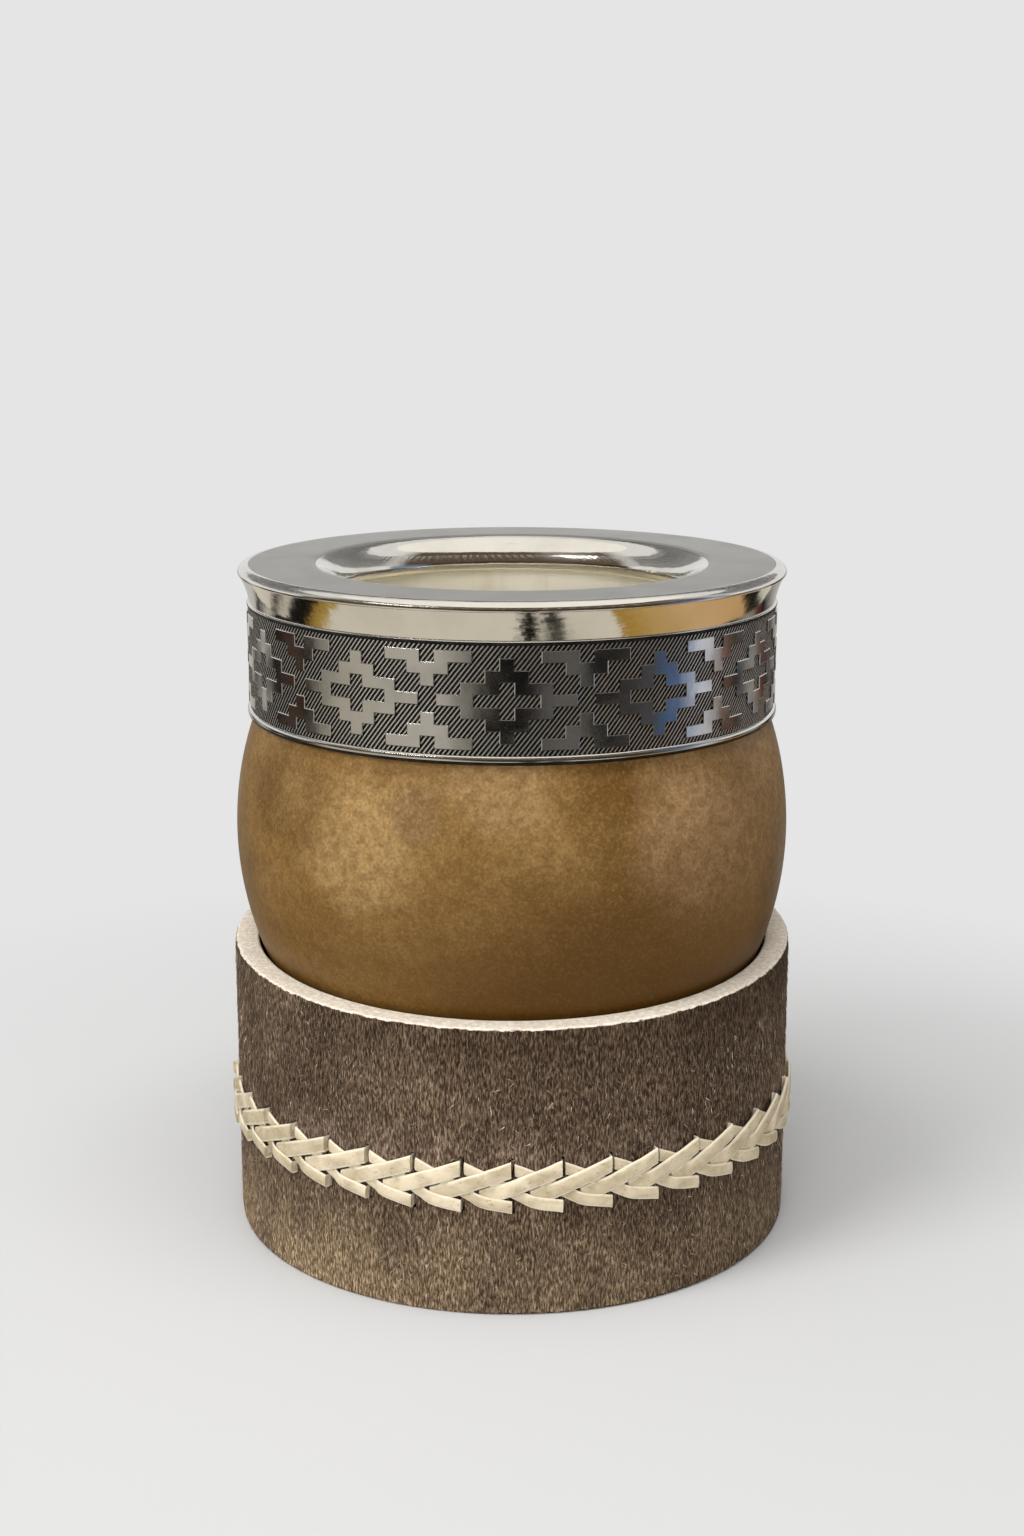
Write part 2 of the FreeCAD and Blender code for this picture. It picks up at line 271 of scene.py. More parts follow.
class Board:
    """A node tree, with short ways to add nodes and join them."""

    def __init__(self, tree):
        self.tree = tree

    def add(self, kind, inputs=None, **settings):
        node = self.tree.nodes.new(kind)
        for key, value in settings.items():
            setattr(node, key, value)
        for name, value in (inputs or {}).items():
            self.feed(value, socket(node.inputs, name))
        return node

    def feed(self, value, target):
        if isinstance(value, bpy.types.NodeSocket):
            self.tree.links.new(value, target)
        else:
            target.default_value = value

    def math(self, operation, *values):
        """A Math node and its result."""
        node = self.add("ShaderNodeMath", operation=operation)
        for value, target in zip(values, node.inputs):
            self.feed(value, target)
        return node.outputs[0]

    def times(self, *values):
        """The product of two or more values."""
        product = values[0]
        for value in values[1:]:
            product = self.math("MULTIPLY", product, value)
        return product

    def vector(self, operation, *values, scale=None):
        """A Vector Math node and its first result."""
        node = self.add("ShaderNodeVectorMath", operation=operation)
        slots = [one for one in node.inputs if one.enabled and one.name == "Vector"]
        for value, target in zip(values, slots):
            self.feed(value, target)
        if scale is not None:
            self.feed(scale, node.inputs["Scale"])
        return next(one for one in node.outputs if one.enabled)

    def span(self, value, low, high, to_low=0.0, to_high=1.0):
        """A value mapped from one range to another, held within it."""
        inputs = {"Value": value, "From Min": low, "From Max": high, "To Min": to_low, "To Max": to_high}
        return self.add("ShaderNodeMapRange", inputs).outputs["Result"]

    def blend(self, factor, first, second):
        """Two colours mixed."""
        node = self.add("ShaderNodeMix", data_type="RGBA")
        colours = [one for one in node.inputs if one.enabled]
        for value, target in zip((factor, first, second), colours):
            self.feed(value, target)
        return next(one for one in node.outputs if one.enabled)

    def tint(self, colour, stain, *masks):
        """A colour tinted towards another as far as the product of the masks says: stains, and painted light
        and shade.
        """
        return self.blend(self.times(*masks), colour, stain)

    def ramp(self, factor, stops):
        """A colour ramp through stops of (place, colour)."""
        node = self.add("ShaderNodeValToRGB", {"Fac": factor})
        elements = node.color_ramp.elements
        while len(elements) < len(stops):
            elements.new(1.0)
        for element, (place, colour) in zip(elements, stops):
            element.position = place
            element.color = colour
        return node

    def own_place(self):
        """The piece's own coordinates."""
        return self.add("ShaderNodeTexCoord").outputs["Object"]

    def own_parts(self):
        """The X, Y and Z of the piece's own coordinates."""
        return self.add("ShaderNodeSeparateXYZ", {"Vector": self.own_place()}).outputs

    def attribute(self, name):
        return self.add("ShaderNodeAttribute", attribute_name=name).outputs["Fac"]

    def store(self, geometry, name, value, data_type, domain):
        inputs = {"Geometry": geometry, "Name": name, "Value": value}
        kind = "GeometryNodeStoreNamedAttribute"
        return self.add(kind, inputs, data_type=data_type, domain=domain).outputs[0]

    def stored(self, name, data_type):
        node = self.add("GeometryNodeInputNamedAttribute", {"Name": name}, data_type=data_type)
        return socket(node.outputs, "Attribute")

    def random(self, low, high, seed):
        node = self.add("FunctionNodeRandomValue", {"Min": low, "Max": high, "Seed": seed}, data_type="FLOAT")
        return socket(node.outputs, "Value")

    def mix_shaders(self, factor, first, second, output="ShaderNodeOutputMaterial"):
        """Two shaders mixed into the tree's output."""
        mix = self.add("ShaderNodeMixShader", {"Fac": factor})
        self.feed(first.outputs[0], mix.inputs[1])
        self.feed(second.outputs[0], mix.inputs[2])
        self.feed(mix.outputs[0], self.add(output).inputs["Surface"])


def blank_board(owner):
    """The emptied node tree of a material or a world."""
    owner.use_nodes = True
    owner.node_tree.nodes.clear()
    return Board(owner.node_tree)


NUMBER = "NodeSocketFloat"
COLOUR = "NodeSocketColor"
WHOLE_NUMBER = "NodeSocketInt"
GEOMETRY = "NodeSocketGeometry"
FINISH = "NodeSocketMaterial"


def new_group(name, kind, inputs, outputs):
    """A node group with named sockets. Gives its board, its input sockets and its output node."""
    tree = bpy.data.node_groups.new(name, kind)
    for label, socket_type, default in inputs:
        made = tree.interface.new_socket(name=label, in_out="INPUT", socket_type=socket_type)
        if default is not None:
            made.default_value = default
    for label, socket_type in outputs:
        tree.interface.new_socket(name=label, in_out="OUTPUT", socket_type=socket_type)
    board = Board(tree)
    given = board.add("NodeGroupInput").outputs
    result = board.add("NodeGroupOutput").inputs
    return board, given, result


def mottle_group():
    """Cloudy patches: a noise on the piece's own coordinates, stretched upright and sharpened."""
    inputs = [("Scale", NUMBER, 40.0), ("Detail", NUMBER, 4.0), ("Upright Stretch", NUMBER, 1.0),
              ("Low", NUMBER, 0.4), ("High", NUMBER, 0.6), ("Shift", NUMBER, 0.0)]
    board, given, result = new_group("mottle", "ShaderNodeTree", inputs, [("Mask", NUMBER)])
    parts = board.own_parts()
    height = board.math("DIVIDE", parts["Z"], given["Upright Stretch"])
    spot = board.add("ShaderNodeCombineXYZ", {"X": parts["X"], "Y": parts["Y"], "Z": height}).outputs[0]
    noise = board.add("ShaderNodeTexNoise", {
        "Vector": spot, "W": given["Shift"], "Scale": given["Scale"], "Detail": given["Detail"],
    }, noise_dimensions="4D")
    board.feed(board.span(noise.outputs["Fac"], given["Low"], given["High"]), result["Mask"])
    return board.tree


def handling_and_shade_group():
    """Metal that has been handled: smears and dents; and where it faces down, for tarnish and painted shade,
    and where it faces away from straight out.
    """
    inputs = [("Smear Scale", NUMBER, 120.0), ("Dent Scale", NUMBER, 260.0)]
    outputs = [(label, NUMBER) for label in ("Smears", "Height", "Facing Down", "Facing Aside")]
    board, given, result = new_group("handling_and_shade", "ShaderNodeTree", inputs, outputs)
    place = board.own_place()
    smear = board.add("ShaderNodeTexNoise", {"Vector": place, "Scale": given["Smear Scale"], "Detail": 5.0})
    dent = board.add("ShaderNodeTexNoise", {"Vector": place, "Scale": given["Dent Scale"], "Detail": 2.0})
    board.feed(board.span(smear.outputs["Fac"], 0.42, 0.68), result["Smears"])
    board.feed(dent.outputs["Fac"], result["Height"])
    facing = board.add("ShaderNodeNewGeometry").outputs["Normal"]
    rise = board.add("ShaderNodeSeparateXYZ", {"Vector": facing}).outputs["Z"]
    board.feed(board.span(rise, *DOWNWARD), result["Facing Down"])
    outward = board.vector("NORMALIZE", board.vector("MULTIPLY", place, (1.0, 1.0, 0.0)))
    board.feed(board.span(board.vector("DOT_PRODUCT", outward, facing), *ASIDE), result["Facing Aside"])
    return board.tree


def hide_tones_group():
    """Hair tones, with painted shade under the edge, pale patches made stronger towards the left as painted
    light, and lights at the foot and by the lace.
    """
    inputs = [("Own Tone", NUMBER, 0.5), ("Dark", COLOUR, None), ("Light", COLOUR, None)]
    outputs = [("Colour", COLOUR), ("Below Edge", NUMBER)]
    board, given, result = new_group("hide_tones", "ShaderNodeTree", inputs, outputs)
    own = given["Own Tone"]
    parts = board.own_parts()
    height = parts["Z"]
    slope = board.times(parts["Y"], math.tan(RING_TOP_SLOPE))
    below_edge = board.math("SUBTRACT", board.math("ADD", slope, RING_MIDDLE_TOP), height)
    # Painted shade below the cut edge, away from the left.
    shade_under_edge = board.span(below_edge, 10 * MM, 3 * MM)
    front = board.span(parts["X"], -34 * MM, -6 * MM)
    # Pale patches stronger towards the left: painted light.
    patches = board.span(parts["X"], 10 * MM, -26 * MM, 0.2, 0.5)
    foot = board.span(height, 19 * MM, 4 * MM)
    left = board.span(parts["X"], 20 * MM, -28 * MM, 0.45, 1.0)
    over_lace = board.span(height, lace_high[2] + 5 * MM, lace_high[2])
    from_lace = board.span(height, lace_high[2] - 5 * MM, lace_high[2] - 1 * MM)
    colour = board.blend(own, given["Dark"], given["Light"])
    pairs = [(UNDER_EDGE_SHADE_PAIR, (shade_under_edge, front, 0.85)),
             (PALE_AND_LIT_PAIR, (mottle(board, "hide patches"), patches)),
             (SCUFFED_PAIR, (foot, left, mottle(board, "hide scuffs"))),
             (BY_LACE_PAIR, (over_lace, from_lace, mottle(board, "hide by lace"), 0.4))]
    for (dark, light), masks in pairs:
        colour = board.tint(colour, board.blend(own, dark, light), *masks)
    board.feed(colour, result["Colour"])
    board.feed(below_edge, result["Below Edge"])
    return board.tree


def bearing_group():
    """The compass bearing about the upright axis, 0 at the back, 0.5 at the front, with ragged bounds."""
    inputs = [("Ragged", NUMBER, 0.01), ("Scale", NUMBER, 30.0)]
    board, given, result = new_group("bearing", "ShaderNodeTree", inputs, [("Bearing", NUMBER)])
    place = board.own_place()
    parts = board.add("ShaderNodeSeparateXYZ", {"Vector": place}).outputs
    angle = board.math("ARCTAN2", parts["X"], board.times(parts["Y"], -1.0))
    noise = board.add("ShaderNodeTexNoise", {"Vector": place, "Scale": given["Scale"], "Detail": 3.0})
    wander = board.times(board.math("SUBTRACT", noise.outputs["Fac"], 0.5), given["Ragged"])
    share = board.math("ADD", board.math("DIVIDE", angle, TURN), 0.5)
    board.feed(board.math("ADD", share, wander), result["Bearing"])
    return board.tree


def mottle(board, name):
    """A mottle group set to one of the named patterns."""
    node = board.add("ShaderNodeGroup", node_tree=MOTTLE)
    for label, value in zip(("Scale", "Low", "High", "Detail", "Upright Stretch", "Shift"), PATTERNS[name]):
        node.inputs[label].default_value = value
    return node.outputs["Mask"]


MOTTLE = mottle_group()
HANDLING_AND_SHADE = handling_and_shade_group()
HIDE_TONES = hide_tones_group()
BEARING = bearing_group()


# ---- Materials ----
def new_material(name, **shader_values):
    """A material with a Principled shader. Gives it, its board and the shader's inputs."""
    material = bpy.data.materials.new(name)
    board = blank_board(material)
    shader = board.add("ShaderNodeBsdfPrincipled")
    board.feed(shader.outputs["BSDF"], board.add("ShaderNodeOutputMaterial").inputs["Surface"])
    for label, value in shader_values.items():
        shader.inputs[label.replace("_", " ")].default_value = value
    return material, board, shader.inputs


def bump(board, height, distance, strength=1.0):
    inputs = {"Height": height, "Distance": distance, "Strength": strength}
    return board.add("ShaderNodeBump", inputs).outputs["Normal"]


def cloud_mask(board, centre, radius):
    """A soft ragged round patch on the piece's own coordinates. Its centre and radius are in millimetres."""
    place = board.own_place()
    noise = board.add("ShaderNodeTexNoise", {"Vector": place, "Scale": CLOUD_SCALE, "Detail": 3.0})
    distance = board.vector("DISTANCE", place, [part * MM for part in centre])
    wander = board.times(board.math("SUBTRACT", noise.outputs["Fac"], 0.5), radius * CLOUD_RAGGED * MM)
    reach = board.math("ADD", distance, wander)
    return board.span(reach, radius * MM, radius * CLOUD_CORE * MM)


def gourd_skin():
    """Ochre rind: clouds, fine grain, one grey blotch and a speck, with painted light on its left and right
    sides and on two pale clouds, and painted shade low down at the front and right.
    """
    material, board, shader = new_material("gourd_skin", Specular_IOR_Level=0.16)
    parts = board.own_parts()
    left = board.span(parts["X"], -6 * MM, -36 * MM)
    right = board.span(parts["X"], 22 * MM, 38 * MM)
    front = board.span(parts["X"], -38 * MM, 2 * MM)
    low = board.span(parts["Z"], BELLY_MIDDLE + 12 * MM, BELLY_MIDDLE - 16 * MM)
    high = board.span(parts["Z"], BELLY_MIDDLE - 14 * MM, BELLY_MIDDLE + 12 * MM)
    colour = board.blend(mottle(board, "rind broad"), tone(104, 75, 34), tone(148, 116, 66))
    # Painted light on the left side.
    colour = board.tint(colour, tone(142, 107, 56), left, 0.5)
    for centre, radius, share, stain in CLOUDS:
        colour = board.tint(colour, stain, cloud_mask(board, centre, radius), share)
    grain = mottle(board, "rind grain")
    some_fleck = board.span(high, 0.0, 1.0, 0.1, 0.4)
    # The first two are painted light on the right side and painted shade low down at the front and right; the
    # rest are the rind's own stains, grain and flecks.
    tints = [(tone(180, 146, 102), right, 0.7),
              (tone(74, 47, 4), low, front, 0.86),
              (tone(86, 60, 20), mottle(board, "rind olive"), 0.5),
              (tone(180, 148, 98), mottle(board, "rind pale"), high, 0.4),
              (tone(74, 46, 12), grain, 0.55),
              (tone(84, 56, 18), mottle(board, "rind mealy"), 0.38),
              (tone(186, 152, 104), mottle(board, "rind fleck"), some_fleck, 0.6)]
    for stain, *masks in tints:
        colour = board.tint(colour, stain, *masks)
    board.feed(colour, shader["Base Color"])
    board.feed(board.span(mottle(board, "rind gloss"), 0.0, 1.0, 0.36, 0.52), shader["Roughness"])
    board.feed(bump(board, grain, 0.03 * MM, 0.6), shader["Normal"])
    return material


def gourd_pith():
    """The scraped pale inside."""
    material, board, shader = new_material("gourd_pith", Roughness=0.75, Specular_IOR_Level=0.2)
    colour = board.blend(mottle(board, "pith"), tone(240, 234, 216), tone(248, 244, 232))
    streak = mottle(board, "pith streaks")
    board.feed(board.tint(colour, tone(216, 202, 172), streak, 0.35), shader["Base Color"])
    board.feed(bump(board, streak, 0.1 * MM, 0.5), shader["Normal"])
    return material


def metal(name, light, dark, smooth, rough, dent, dent_scale, tarnish_and_shade=0.0, flanks=0.0):
    """Nickel silver with faint smears and shallow dents, blackened with tarnish and painted shade where it
    faces down, and blackened where it faces aside.
    """
    material, board, shader = new_material(name, Metallic=1.0)
    wear_and_shade = board.add("ShaderNodeGroup", node_tree=HANDLING_AND_SHADE)
    wear_and_shade.inputs["Dent Scale"].default_value = dent_scale
    smears = wear_and_shade.outputs["Smears"]
    colour = board.blend(smears, (*light, 1.0), (*dark, 1.0))
    if tarnish_and_shade:
        # Tarnish and painted shade on faces that look down.
        colour = board.tint(colour, tone(40, 38, 36), wear_and_shade.outputs["Facing Down"], tarnish_and_shade)
    if flanks:
        colour = board.tint(colour, tone(34, 33, 31), wear_and_shade.outputs["Facing Aside"], flanks)
    board.feed(colour, shader["Base Color"])
    board.feed(board.span(smears, 0.0, 1.0, smooth, rough), shader["Roughness"])
    board.feed(bump(board, wear_and_shade.outputs["Height"], dent), shader["Normal"])
    return material


def hatched_ground():
    """The band's ground between the ridges, blackened in the cuts."""
    material, board, shader = new_material("hatched_ground", Metallic=0.6)
    soot = mottle(board, "soot")
    board.feed(board.blend(soot, tone(14, 14, 15), tone(40, 39, 38)), shader["Base Color"])
    board.feed(board.span(soot, 0.0, 1.0, 0.55, 0.38), shader["Roughness"])
    return material


def hide_tones(board, own, dark, light):
    """The hide tones for a hair's own tone, squared so that most are dark."""
    node = board.add("ShaderNodeGroup", node_tree=HIDE_TONES)
    for label, value in (("Own Tone", board.times(own, own)), ("Dark", dark), ("Light", light)):
        board.feed(value, node.inputs[label])
    return node.outputs


def hide_body():
    """The ring under its hair: skin with the finest hairs, a pale cut edge, a suede bore and painted shade in
    the slits.
    """
    material, board, shader = new_material("hide_body", Roughness=0.85, Specular_IOR_Level=0.15)
    parts = board.own_parts()
    flat = board.add("ShaderNodeCombineXYZ", {"X": parts["X"], "Y": parts["Y"]}).outputs[0]
    radius = board.vector("LENGTH", flat)
    streaks = mottle(board, "hide streaks")
    tones = hide_tones(board, streaks, tone(34, 25, 18), tone(122, 100, 80))
    ragged = board.times(mottle(board, "cut ragged"), 0.3 * MM)
    edge = board.span(board.math("ADD", tones["Below Edge"], ragged), *CUT_EDGE)
    inner = board.span(radius, RING_BORE + 0.5 * MM, RING_BORE + 0.3 * MM)
    slit_shade_mask = board.span(radius, RING_RADIUS - 0.2 * MM, RING_RADIUS - 0.5 * MM)
    laced = board.math("LESS_THAN", parts["Z"], lace_high[2] + 2 * MM)
    suede = board.blend(mottle(board, "suede"), tone(168, 142, 108), tone(196, 172, 138))
    cut = board.blend(mottle(board, "cut fibres"), tone(222, 208, 188), tone(246, 238, 224))
    # Painted shade in the slits.
    colour = board.tint(tones["Colour"], tone(26, 18, 12), slit_shade_mask, laced)
    colour = board.blend(edge, board.blend(inner, colour, suede), cut)
    board.feed(colour, shader["Base Color"])
    board.feed(bump(board, streaks, 0.14 * MM, 0.8), shader["Normal"])
    return material


def hair(name, dark, light):
    """Hair: each strand has its own tone, over patches that run across many strands."""
    material, board, shader = new_material(name, Roughness=0.5, Specular_IOR_Level=0.3)
    tones = hide_tones(board, board.attribute("hair_tone"), dark, light)
    tip = board.span(board.attribute("along"), 0.4, 1.0)
    board.feed(board.tint(tones["Colour"], tone(172, 150, 122), tip, 0.2), shader["Base Color"])
    return material


def rawhide():
    """Ivory lacing, a little glossy: paler along its edges, with faint stains and fine brown specks."""
    material, board, shader = new_material("rawhide", Roughness=0.46, Specular_IOR_Level=0.4)
    colour = board.blend(board.attribute("copy_tone"), tone(186, 171, 142), tone(212, 198, 170))
    colour = board.tint(colour, tone(148, 128, 92), mottle(board, "lace stains"), 0.6)
    colour = board.tint(colour, tone(124, 96, 60), mottle(board, "lace specks"), 0.7)
    ragged = board.math("ADD", board.attribute("edge"), board.times(mottle(board, "lace edge"), 0.16))
    colour = board.tint(colour, tone(226, 216, 194), board.span(ragged, *LACE_PALE_EDGE), 0.85)
    board.feed(colour, shader["Base Color"])
    board.feed(bump(board, mottle(board, "lace fibres"), 0.1 * MM, 0.6), shader["Normal"])
    return material


POLISHED = metal("polished_metal", (0.83, 0.80, 0.74), (0.76, 0.73, 0.67), 0.07, 0.14, 0.03 * MM, 420.0)
SATIN = metal("satin_metal", (0.61, 0.59, 0.55), (0.56, 0.54, 0.5), 0.33, 0.35, 0.01 * MM, 900.0)
BEAD = metal("bead_metal", (0.80, 0.78, 0.73), (0.70, 0.68, 0.62), 0.1, 0.2, 0.012 * MM, 300.0, 0.85)
FIGURE = metal("figure_metal", (0.78, 0.76, 0.72), (0.60, 0.58, 0.55), 0.12, 0.24, 0.03 * MM, 420.0, 0.9)
RIDGE = metal("ridge_metal", (0.82, 0.80, 0.77), (0.58, 0.57, 0.55), 0.42, 0.56, 0.01 * MM, 900.0, 0.8, 0.85)
GROUND = hatched_ground()
SKIN = gourd_skin()
PITH = gourd_pith()
RAWHIDE = rawhide()
HAIR = hair("hide_hair", tone(34, 25, 17), tone(140, 116, 93))
STRAY = hair("stray_hair", tone(112, 92, 72), tone(232, 214, 190))


# ---- Meshes ----
def point(radius, angle, height):
    """A place from its radius, its angle from the front and its height."""
    return Vector((radius * math.sin(angle), -radius * math.cos(angle), height))


def new_object(name, mesh, *materials):
    piece = bpy.data.objects.new(name, mesh)
    bpy.context.scene.collection.objects.link(piece)
    for material in materials:
        mesh.materials.append(material)
    return piece


def plain_mesh(name, shape):
    mesh = bpy.data.meshes.new(name)
    shape.to_mesh(mesh)
    shape.free()
    return mesh


def smooth(mesh, crease):
    """Shade a mesh smooth and keep its sharp creases."""
    mesh.shade_smooth()
    mesh.set_sharp_from_angle(angle=math.radians(crease))
    return mesh


def finish_mesh(name, shape, crease=CREASE):
    bmesh.ops.recalc_face_normals(shape, faces=shape.faces)
    return smooth(plain_mesh(name, shape), crease)


def facets(shape, lower, upper, finish=0):
    """Faces between two closed rings of points. A ring drawn to one point gives triangles."""
    for index, near in enumerate(lower):
        after = (index + 1) % len(lower)
        corners = dict.fromkeys((near, lower[after], upper[after], upper[index]))
        shape.faces.new(corners).material_index = finish


def open_wall(name, rings, *materials):
    """A wall through closed rings of places, open at both ends."""
    shape = bmesh.new()
    made = [[shape.verts.new(spot) for spot in ring] for ring in rings]
    for lower, upper in zip(made, made[1:]):
        facets(shape, lower, upper)
    return new_object(name, plain_mesh(name, shape), *materials)


def elliptic(cr, cz, across, up, start, end, steps):
    """Points on an ellipse about (cr, cz), between two angles in degrees."""
    angles = [math.radians(start + (end - start) * step / steps) for step in range(steps + 1)]
    return [(cr + across * math.cos(a), cz + up * math.sin(a)) for a in angles]


def lathe(name, stretches, materials, uneven=None):
    """Turn an outline about Z. Each stretch is (finish, points) and starts where the last one ended."""
    outline = [stretches[0][1][0]]
    finishes = []
    for finish, points in stretches:
        fresh = points if (points[0] != outline[-1]) else points[1:]
        outline += fresh
        finishes += [finish] * len(fresh)
    closed = (Vector(outline[0]) - Vector(outline[-1])).length < 1e-9
    if closed:
        outline.pop()
    shape = bmesh.new()
    rings = []
    for radius, height in outline:
        if radius < 1e-7:
            rings.append([shape.verts.new((0, 0, height))] * TURNS)
            continue
        ring = []
        for step in range(TURNS):
            angle = TURN * step / TURNS
            out = radius + (uneven(angle, height) if uneven else 0)
            ring.append(shape.verts.new(point(out, angle, height)))
        rings.append(ring)
    if closed:
        rings.append(rings[0])
    for lower, upper, finish in zip(rings, rings[1:], finishes):
        facets(shape, lower, upper, finish)
    return new_object(name, finish_mesh(name, shape), *materials)


def skin_uneven(angle, height):
    """The belly isn't quite round."""
    share = min(1.0, max(0.0, (BAND_FOOT - height) / SKIN_FADE))
    wave = math.sin(2 * angle + 0.7) + 0.6 * math.sin(3 * angle + 2.1 + 60 * height)
    return SKIN_UNEVEN * share * wave


def gourd_shell():
    shoulder = NECK_RADIUS + SHOULDER
    mouth = NECK_RADIUS - MOUTH_WALL
    inner_across = BELLY_RADIUS - GOURD_WALL
    inner_half = BELLY_HALF_HEIGHT - GOURD_WALL
    top = math.degrees(math.acos(shoulder / BELLY_RADIUS))
    inner_top = math.degrees(math.acos(mouth / inner_across))
    outside = elliptic(0, BELLY_MIDDLE, BELLY_RADIUS, BELLY_HALF_HEIGHT, -90, top, 72)
    outside[0] = (0, GOURD_FOOT)
    inside = elliptic(0, BELLY_MIDDLE, inner_across, inner_half, inner_top, -90, 60)
    inside[-1] = (0, BELLY_MIDDLE - inner_half)
    bend = (NECK_TOP - MOUTH_ROUND, MOUTH_ROUND, MOUTH_ROUND)
    round_out = elliptic(NECK_RADIUS - MOUTH_ROUND, *bend, 0, 90, 6)
    round_in = elliptic(mouth + MOUTH_ROUND, *bend, 90, 180, 6)
    neck = [outside[-1], (NECK_RADIUS, BAND_FOOT)] + round_out
    stretches = [(0, outside), (0, neck), (1, [neck[-1]] + round_in), (1, [round_in[-1]] + inside)]
    return lathe("gourd_shell", stretches, [SKIN, PITH], uneven=skin_uneven)


def rim_ring():
    """Flat-topped rim: satin on the flat, polished on its rounded edge, flare and rolled lip."""
    flat_outer = RIM_RADIUS - RIM_EDGE_RUN
    flat_inner = THROAT_RADIUS + LIP_RADIUS
    edge_low = RIM_TOP - RIM_EDGE_FALL
    flare_top = RIM_RADIUS - RIM_QUIRK
    flare_high = edge_low - RIM_QUIRK
    lip_low = RIM_TOP - LIP_RADIUS
    nose = THROAT_RADIUS + LIP_NOSE
    flare = []
    for step in range(FLARE_STEPS + 1):
        share = step / FLARE_STEPS
        bow = 4 * share * (1 - share) * (0.5 - FLARE_HOLLOW)
        out = BAND_RADIUS + (flare_top - BAND_RADIUS) * (share - bow)
        flare.append((out, BAND_HEAD + (flare_high - BAND_HEAD) * share))
    quirk = elliptic(RIM_RADIUS - QUIRK_ACROSS, edge_low - QUIRK_DROP, QUIRK_ACROSS, QUIRK_RISE, -60, 0, 6)
    edge = elliptic(flat_outer, edge_low, RIM_EDGE_RUN, RIM_EDGE_FALL, 0, 90, 20)
    flat = [edge[-1], (flat_outer - FLAT_BREAK, RIM_TOP),
            (flat_inner + FLAT_BREAK, RIM_TOP), (flat_inner, RIM_TOP)]
    lip = elliptic(flat_inner, lip_low, LIP_RADIUS, LIP_RADIUS, 90, 180, 28)
    roll = elliptic(nose, BAND_HEAD + LIP_NOSE, LIP_NOSE, LIP_NOSE, 180, 270, 8)
    under = [roll[-1], flare[0]]
    stretches = [(0, flare), (0, [flare[-1]] + quirk), (0, [quirk[-1]] + edge), (1, flat),
                 (1, [flat[-1]] + lip[:LIP_SATIN + 1]), (0, lip[LIP_SATIN:]),
                 (0, [lip[-1]] + roll), (0, under)]
    return lathe("rim_ring", stretches, [POLISHED, SATIN])


def band_sleeve():
    """Sheet sleeve with its two beads and the blackened ground between them; the lower facets of each bead
    take the ground's dark finish as painted shade.
    """
    foot_middle = BAND_FOOT + FOOT_BEAD_HEIGHT / 2
    head_middle = BAND_HEAD - HEAD_BEAD_HEIGHT / 2
    foot = elliptic(BAND_RADIUS, foot_middle, FOOT_BEAD_STANDS, FOOT_BEAD_HEIGHT / 2, -90, 90, 18)
    head = elliptic(BAND_RADIUS, head_middle, HEAD_BEAD_STANDS, HEAD_BEAD_HEIGHT / 2, -90, 90, 12)
    bore = [head[-1], (BAND_BORE, BAND_HEAD), (BAND_BORE, BAND_FOOT), foot[0]]
    # The lower facets of each bead take the dark ground's finish: painted shade.
    stretches = [(1, foot[:BEAD_SHADE_FACETS + 1]), (0, foot[BEAD_SHADE_FACETS:]), (1, [foot[-1], head[0]]),
                 (1, head[:BEAD_SHADE_FACETS + 1]), (0, head[BEAD_SHADE_FACETS:]), (0, bore)]
    return lathe("band_sleeve", stretches, [BEAD, GROUND])


def wrap(shape, radius):
    """Bend a figure drawn as (along, out, up) round a cylinder, its middle at the front."""
    for vertex in shape.verts:
        along, out, up = vertex.co
        vertex.co = point(radius + out, along / radius, up)


def figure_plate(name, rows, top):
    """A raised figure from rows of spans (from, to), with a rounded edge, wrapped on the band."""
    stops = (STEM_HALF, STEP_HALF, HOLLOW_HALF, BODY_HALF, (BODY_HALF + ARM_HALF) / 2, ARM_HALF)
    columns = sorted([0.0] + [side * stop for stop in stops for side in (-1, 1)])
    shape = bmesh.new()
    verts = {}

    def corner(column, row):
        key = (column, row)
        if key not in verts:
            verts[key] = shape.verts.new((columns[column], 0, top - row * MOTIF_ROW))
        return verts[key]

    for row, spans in enumerate(rows):
        for column in range(len(columns) - 1):
            middle = (columns[column] + columns[column + 1]) / 2
            if any(low < middle < high for low, high in spans):
                shape.faces.new([corner(column, row), corner(column, row + 1),
                                 corner(column + 1, row + 1), corner(column + 1, row)])
    outer = [edge for edge in shape.edges if edge.is_boundary]
    outer_verts = {vertex for edge in outer for vertex in edge.verts}
    inset = {"use_boundary": True, "use_even_offset": True, "depth": 0}
    bmesh.ops.inset_region(shape, faces=shape.faces[:], thickness=EDGE_FACET, **inset)
    crown = [face for face in shape.faces if not outer_verts & set(face.verts)]
    bmesh.ops.inset_region(shape, faces=crown, thickness=EDGE_FACET, **inset)
    rims = [edge for edge in shape.edges if edge.is_boundary]
    for vertex in shape.verts:
        vertex.co.y = RELIEF
    for vertex in shape.verts:
        if any(other in outer_verts for edge in vertex.link_edges for other in edge.verts):
            vertex.co.y = FIGURE_BREAK
    for vertex in outer_verts:
        vertex.co.y = FIGURE_SHOULDER
    sink_figure(bmesh.ops.extrude_edge_only(shape, edges=rims))
    sink_figure(bmesh.ops.duplicate(shape, geom=crown_floor(shape)))
    bmesh.ops.remove_doubles(shape, verts=shape.verts, dist=WELD)
    wrap(shape, BAND_RADIUS)
    return new_object(name, finish_mesh(name, shape, FIGURE_CREASE))


def sink_figure(made):
    """Put the points that a bmesh step made at the figure's root."""
    for item in made["geom"]:
        if isinstance(item, bmesh.types.BMVert):
            item.co.y = -FIGURE_ROOT


